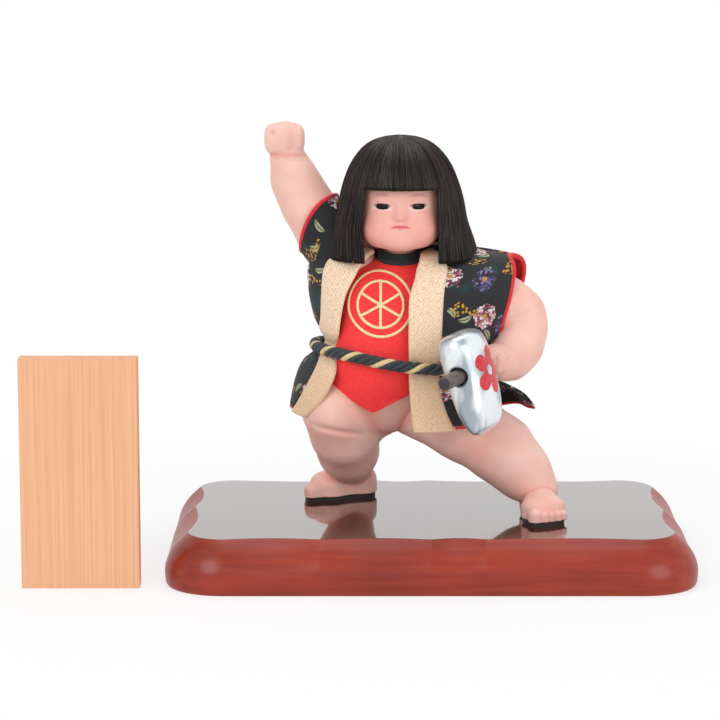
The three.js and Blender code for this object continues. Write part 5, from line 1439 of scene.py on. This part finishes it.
# Rope belt: four hard strands laid together, three black and one cream, wound once round the waist
# and tied at the back. Its yarns are fine, twisted hard and slightly fluffy.
ROPE_RADIUS = 4.2 * MM
STRANDS, STRAND_SIDES = 4, 18
STRAND = ROPE_RADIUS / 2.35
ROPE_TURNS, KNOT_TURNS, WRAP_TURNS = 17, 5, 3
ROPE_POINTS, KNOT_POINTS, WRAP_POINTS = 1500, 419, 299
ROPE_DROP, ROPE_TILT, ROPE_BITE = 0.1, 0.88, 3.2 * MM
ROPE_OUT = LAPEL_PROUD + 1.1 * MM + ROPE_RADIUS


def lay_strands(name, route, lift, turns):
    """Strands twisted round a closed route, each with its own fine yarns."""
    across, up = frame_along(route, lift, True)
    share = np.arange(len(route)) / len(route)
    around = 2 * np.pi * np.arange(STRAND_SIDES) / STRAND_SIDES
    made = []
    for strand in range(STRANDS):
        turn = 2 * np.pi * (turns * share + strand / STRANDS)
        spoke = np.cos(turn)[:, None] * across + np.sin(turn)[:, None] * up
        yarns = 1 + 0.06 * np.cos(6 * around[None, :] - 12 * turn[:, None])
        middle = route + (ROPE_RADIUS - STRAND) * spoke
        made.append(tube(f"{name}_{strand}", middle, STRAND * yarns, STRAND_SIDES, closed=True, lift=spoke))
    return made


belt_angle = 2 * np.pi * np.arange(ROPE_POINTS) / ROPE_POINTS
belt_row = ROPE_ROW + ROPE_DROP - ROPE_TILT * np.sin(belt_angle)
belt_out = ROPE_OUT - ROPE_BITE * np.clip(-np.sin(belt_angle), 0, 1) ** 2
belt_route = coat_skin(belt_row, belt_angle, belt_out)
belt_lift = coat_skin(belt_row, belt_angle, belt_out + MM) - belt_route
belt = lay_strands("rope_strand", belt_route, belt_lift, ROPE_TURNS)
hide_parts("rope_belt")

# The knot: a three-lobed turn of the same rope, with one wrap round it.
knot_middle = coat_skin(ROPE_ROW + ROPE_DROP, math.pi, ROPE_OUT + 2.5 * MM)
knot_turn = np.linspace(0, 2 * np.pi, KNOT_POINTS + 1)[:-1]
bulge = 1 + 0.12 * np.cos(3 * knot_turn)
knot_route = np.stack([
    6.2 * MM * np.cos(knot_turn) * bulge, 1.6 * MM * np.sin(3 * knot_turn) + 1.5 * MM,
    4.6 * MM * np.sin(knot_turn) * bulge,
], -1) + knot_middle
knot = lay_strands("knot_strand", knot_route, np.array([0, 1, 0.1]), KNOT_TURNS)
wrap_turn = np.linspace(0, 2 * np.pi, WRAP_POINTS + 1)[:-1]
wrap_route = np.stack([
    2.5 * MM * np.sin(wrap_turn), 4 * MM * np.cos(wrap_turn) + 0.5 * MM, 5.5 * MM * np.sin(wrap_turn + 0.4),
], -1) + knot_middle
knot += lay_strands("knot_wrap_strand", wrap_route, np.array([1, 0.2, 0.1]), WRAP_TURNS)
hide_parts("rope_knot")
black_yarn, cream_yarn = (
    grained(
        name, [(0.3, dark), (0.7, pale)], {"Scale": 1 / (0.5 * MM), "Detail": 4},
        relief=(0.6, 0.2 * MM), Roughness=0.6, Sheen_Weight=0.15,
    )
    for name, dark, pale in (("black_rope_yarn", "#0D1417", "#2A383E"), ("cream_rope_yarn", "#C2A566", "#F0DCA8"))
)
for i, part in enumerate(belt + knot):
    part.data.materials.append(black_yarn if i % STRANDS else cream_yarn)
    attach(part, "figure")

# Axe: a fat head carved from wood, primed smooth and sprayed silver, on a stained round handle
# that runs through its eye and into the fist.
AXE_LENGTH = 75 * MM
# Each row in lengths of the head: how far below the eye, half the thickness, front and rear edge.
AXE_HEAD = [
    [-0.37, 0.035, 0.18, 0.36], [-0.352, 0.115, 0.06, 0.46], [-0.3, 0.173, -0.005, 0.525],
    [-0.19, 0.196, -0.02, 0.548], [0.05, 0.192, -0.006, 0.556], [0.21, 0.183, -0.014, 0.565],
    [0.36, 0.156, -0.02, 0.572], [0.47, 0.113, -0.008, 0.566], [0.535, 0.07, 0.03, 0.535],
    [0.56, 0.03, 0.1, 0.46],
]
SQUARENESS = 2.35
HANDLE_RADIUS = 4.8 * MM
EYE_RECESS_RADIUS, EYE_RECESS = 6.2 * MM, 7 * MM
SHAFT_AHEAD, SHAFT_LENGTH, SHAFT_POINTS = 22 * MM, 89 * MM, 60
AXE_MARGIN = 7 * MM


def axe_section(share):
    """Half the head's thickness, and its front and rear edge, at a share of its length."""
    rows = between(AXE_HEAD, np.linspace(0, len(AXE_HEAD) - 1, 200))
    return [np.interp(share, rows[:, 0], rows[:, i]) * AXE_LENGTH for i in (1, 2, 3)]


def axe_field(p):
    away = p - AXE_EYE
    back, down, side = -(away @ ALONG_HANDLE), away @ TO_EDGE, away @ TO_SIDE
    share = down / AXE_LENGTH
    half, front, rear = axe_section(share)
    x = np.abs(back - (front + rear) / 2) / ((rear - front) / 2)
    z = np.abs(side) / half
    near_skin = (x**SQUARENESS + z**SQUARENESS) ** (1 / SQUARENESS)
    body = (near_skin - 1) * np.minimum(half, (rear - front) / 2)
    body = np.maximum(body, np.maximum(AXE_HEAD[0][0] - share, share - AXE_HEAD[-1][0]) * AXE_LENGTH)
    off = np.sqrt(down**2 + side**2)
    recess = np.maximum(off - EYE_RECESS_RADIUS, back - EYE_RECESS)
    return -melt(-body, recess, 1.6 * MM)


def paint_shade_in_axe_eye(p):
    """Painted shade inside the eye's recess, round the handle."""
    away = p - AXE_EYE
    off = length_of(np.stack([away @ TO_EDGE, away @ TO_SIDE], -1))
    shade = np.clip((EYE_RECESS_RADIUS + 0.4 * MM - off) / (0.8 * MM), 0, 1) * (away @ ALONG_HANDLE > -12 * MM)
    return np.stack([1 - 0.88 * shade] * 3 + [np.ones(len(p))], -1)


low, high = (np.array(corner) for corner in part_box("axe_head"))
axe_head = sculpt("silver_axe_head", axe_field, low - AXE_MARGIN, high + AXE_MARGIN, 0.6 * MM, paint_shade_in_axe_eye)
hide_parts("axe_head")
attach(axe_head, "axe")

# Silver lacquer paint: fine aluminium flakes in a smooth film. Long soft darker streaks down the head are
# painted reflections, and the same streaks give the film a faint waviness. The flakes are drawn at 0.25 mm.
silver, shader = finish_of("silver_lacquer_paint", Roughness=0.27, Metallic=0.6)
spot = add(silver, "TexCoord").outputs["Object"]
flakes = add(silver, "TexNoise", {"Vector": spot, "Scale": 1 / (0.25 * MM), "Detail": 2})
tone = add(silver, "ValToRGB", {0: flakes}, stops=[(0.3, "#DCE2E6"), (0.7, "#F6FAFC")])
# The paint attribute darkens the eye's recess: painted shade.
painted = add(silver, "Attribute", attribute_name="paint")
tone = add(silver, "Mix", {0: 1, 6: tone, 7: painted}, data_type="RGBA", blend_type="MULTIPLY")
drawn_down = add(silver, "Mapping", {"Vector": spot, "Scale": (1, 1, 0.35)})
reflection_streaks_and_waviness = add(silver, "TexNoise", {"Vector": drawn_down, "Scale": 1 / (12 * MM), "Detail": 2})
painted_reflection_tone = add(silver, "ValToRGB", {0: reflection_streaks_and_waviness}, stops=[(0.4, "#B2B9C0"), (0.58, "#FFFFFF")])
tone = add(silver, "Mix", {0: 1, 6: tone.outputs[2], 7: painted_reflection_tone}, data_type="RGBA", blend_type="MULTIPLY")
bump = add(silver, "Bump", {"Height": reflection_streaks_and_waviness, "Strength": 0.08, "Distance": 1 * MM})
add(silver, shader, {"Base Color": tone.outputs[2], "Normal": bump})
axe_head.data.materials.append(silver)

# The handle: a turned stick with eased ends, stained grey-brown so that its long pores show. Its
# sawn ends soak up more stain.
shaft_share = np.linspace(0, 1, SHAFT_POINTS)
shaft_round = np.minimum(1, np.minimum(shaft_share, 1 - shaft_share) * 90 / 0.8 + 0.82)
shaft_line = AXE_EYE + (SHAFT_AHEAD - SHAFT_LENGTH * shaft_share)[:, None] * ALONG_HANDLE
shaft = tube("axe_shaft", shaft_line, HANDLE_RADIUS * shaft_round, 48)
stained = grained(
    "stained_wood", [(0.3, "#3A3436"), (0.75, "#7C6C66")], {"Scale": 1, "Detail": 4},
    {"Rotation": (0, 0, math.radians(-25.5)), "Scale": (1200, 120, 1200)},
    relief=(0.3, 0.2 * MM), Roughness=0.55,
)
end_grain = grained(
    "stained_end_grain", [(0.3, "#252226"), (0.75, "#443E42")], {"Scale": 1 / (0.8 * MM), "Detail": 3},
    Roughness=0.7,
)
for finish in (stained, end_grain):
    shaft.data.materials.append(finish)
for end in shaft.data.polygons[-2:]:
    end.material_index = 1
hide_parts("axe_handle")
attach(shaft, "axe")

# Mark: five petals of red enamel, brushed on the axe's cheek round a bare middle. The film is thin
# and stands a quarter of a millimetre proud.
MARK_BACK, MARK_DOWN = 0.278 * AXE_LENGTH, 2 * MM
MARK_RADIUS = 17 * MM
MARK_HOLE = 0.2
MARK_TURNS, MARK_RINGS = 360, 40
MARK_FILM, MARK_SUNK = 0.25 * MM, -0.4 * MM


def on_cheek(back, down, out):
    """A point over the axe's cheek, by its distance behind and below the eye."""
    half, front, rear = axe_section(down / AXE_LENGTH)
    x = np.clip(np.abs(back - (front + rear) / 2) / ((rear - front) / 2), 0, 0.999)
    side = half * (1 - x**SQUARENESS) ** (1 / SQUARENESS) + out
    return on_axe(back[..., None], down[..., None], side[..., None])


mark_turn, mark_out = np.meshgrid(
    np.linspace(0, 2 * np.pi, MARK_TURNS + 1)[:-1], np.linspace(0, 1, MARK_RINGS), indexing="ij",
)
petal_edge = 0.36 + 0.64 * np.abs(np.cos(2.5 * mark_turn)) ** 0.6
mark_radius = MARK_RADIUS * (MARK_HOLE + (petal_edge - MARK_HOLE) * mark_out)
mark_back = MARK_BACK + mark_radius * np.cos(mark_turn)
mark_down = MARK_DOWN + mark_radius * np.sin(mark_turn)
film = MARK_FILM * np.sqrt(np.clip(1 - np.abs(2 * mark_out - 1) ** 16, 0, 1))
outside, inside = (on_cheek(mark_back, mark_down, out).reshape(-1, 3) for out in (film, MARK_SUNK))
count = MARK_TURNS * MARK_RINGS
over, under = (grid_faces(MARK_TURNS, MARK_RINGS, start=start) for start in (0, count))
ring_of = np.arange(MARK_RINGS)
seam = np.stack([ring_of[:-1] + count - MARK_RINGS, ring_of[:-1], ring_of[1:], ring_of[1:] + count - MARK_RINGS], -1)
here = np.arange(MARK_TURNS) * MARK_RINGS
ahead = np.roll(here, -1)
rims = [
    np.stack([here + rim, ahead + rim, ahead + rim + count, here + rim + count], -1) for rim in (0, MARK_RINGS - 1)
]
faces = np.concatenate([over, under[:, ::-1], seam, seam[:, ::-1] + count] + rims)
mark = piece("axe_cheek_mark", np.concatenate([outside, inside]), faces)
sew(mark, rims_only=False)
enamel = grained(
    "brushed_red_enamel", [(0.3, "#B81C28"), (0.7, "#DC3440")], {"Scale": 1 / (2.5 * MM), "Detail": 3},
    Roughness=0.35,
)
mark.data.materials.append(enamel)
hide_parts("axe_mark")
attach(mark, "axe")

# Name board: an upright of planed light wood, left unfinished, with its sharp edges eased.
# It stands by itself beside the stand, and is bare here.
low, high = (np.array(corner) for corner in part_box("name_board"))
board_mesh = bmesh.new()
bmesh.ops.create_cube(board_mesh, size=1)
bmesh.ops.scale(board_mesh, vec=high - low, verts=board_mesh.verts)
bmesh.ops.translate(board_mesh, vec=(high + low) / 2, verts=board_mesh.verts)
bmesh.ops.bevel(board_mesh, geom=board_mesh.edges[:], offset=0.4 * MM, segments=4, profile=0.5, affect="EDGES")
board_data = bpy.data.meshes.new("planed_name_board")
board_mesh.to_mesh(board_data)
board_mesh.free()
board = bpy.data.objects.new("planed_name_board", board_data)
scene.collection.objects.link(board)
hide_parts("name_board")
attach(board, "board")

# Cedar: straight grain about a millimetre and a half apart, pale between darker late-wood lines.
cedar = grained(
    "planed_cedar", [(0.3, "#DA9F78"), (0.52, "#E5AC84"), (0.75, "#EDB990")],
    {"Scale": 1 / (1.4 * MM), "Detail": 5, "Roughness": 0.55}, {"Scale": (1, 0.25, 0.008)},
    relief=(0.25, 0.2 * MM), Roughness=0.65,
)
board.data.materials.append(cedar)

# Floor, light and background of the photograph, no part of the doll. The floor is white paper that
# fades to plain white away from the doll, and keeps its shadow.
floor_mesh = bpy.data.meshes.new("floor")
floor_mesh.from_pydata([(-6, -4, 0), (6, -4, 0), (6, 8, 0), (-6, 8, 0)], [], [(0, 1, 2, 3)])
floor = bpy.data.objects.new("floor", floor_mesh)
scene.collection.objects.link(floor)
paper, shader = finish_of("white_paper", Roughness=0.9, Specular_IOR_Level=0, Base_Color=linear("#F7F7F7"))
spot = add(paper, "NewGeometry").outputs["Position"]
away = add(paper, "VectorMath", {0: spot}, operation="LENGTH").outputs["Value"]
bright = add(paper, "MapRange", {0: away, 1: 0.22, 2: 0.5, 3: 0.66})
glow = add(paper, "Emission", {"Color": (1, 1, 1, 1), "Strength": 1})
seen = add(paper, "MixShader", {0: bright, 1: shader, 2: glow})
add(paper, paper.node_tree.nodes["Material Output"], {"Surface": seen})
floor.data.materials.append(paper)
world = bpy.data.worlds.new("studio")
scene.world = world
world.use_nodes = True
rays = add(world, "LightPath").outputs
seen = add(world, "Math", {0: rays["Is Camera Ray"], 1: rays["Is Glossy Ray"]}, operation="MAXIMUM")
strength = add(world, "MapRange", {"Value": seen, "To Min": 0.62, "To Max": 1})
add(world, world.node_tree.nodes["Background"], {"Strength": strength, "Color": (1, 1, 1, 1)})
for name, spot, size, watts in (
    ("key", (-0.9, -1.45, 1.15), 1.1, 10.4), ("fill", (1.2, -1.4, 0.65), 1.2, 8.6), ("top", (0, 0.3, 1.8), 1.3, 8),
):
    lamp = bpy.data.objects.new(name, bpy.data.lights.new(name, "AREA"))
    lamp.data.shape = "DISK"
    lamp.data.size = size
    lamp.data.energy = watts
    lamp.location = spot
    lamp.rotation_euler = (Vector((0, 0, 0.15)) - Vector(spot)).to_track_quat("-Z", "Y").to_euler()
    scene.collection.objects.link(lamp)
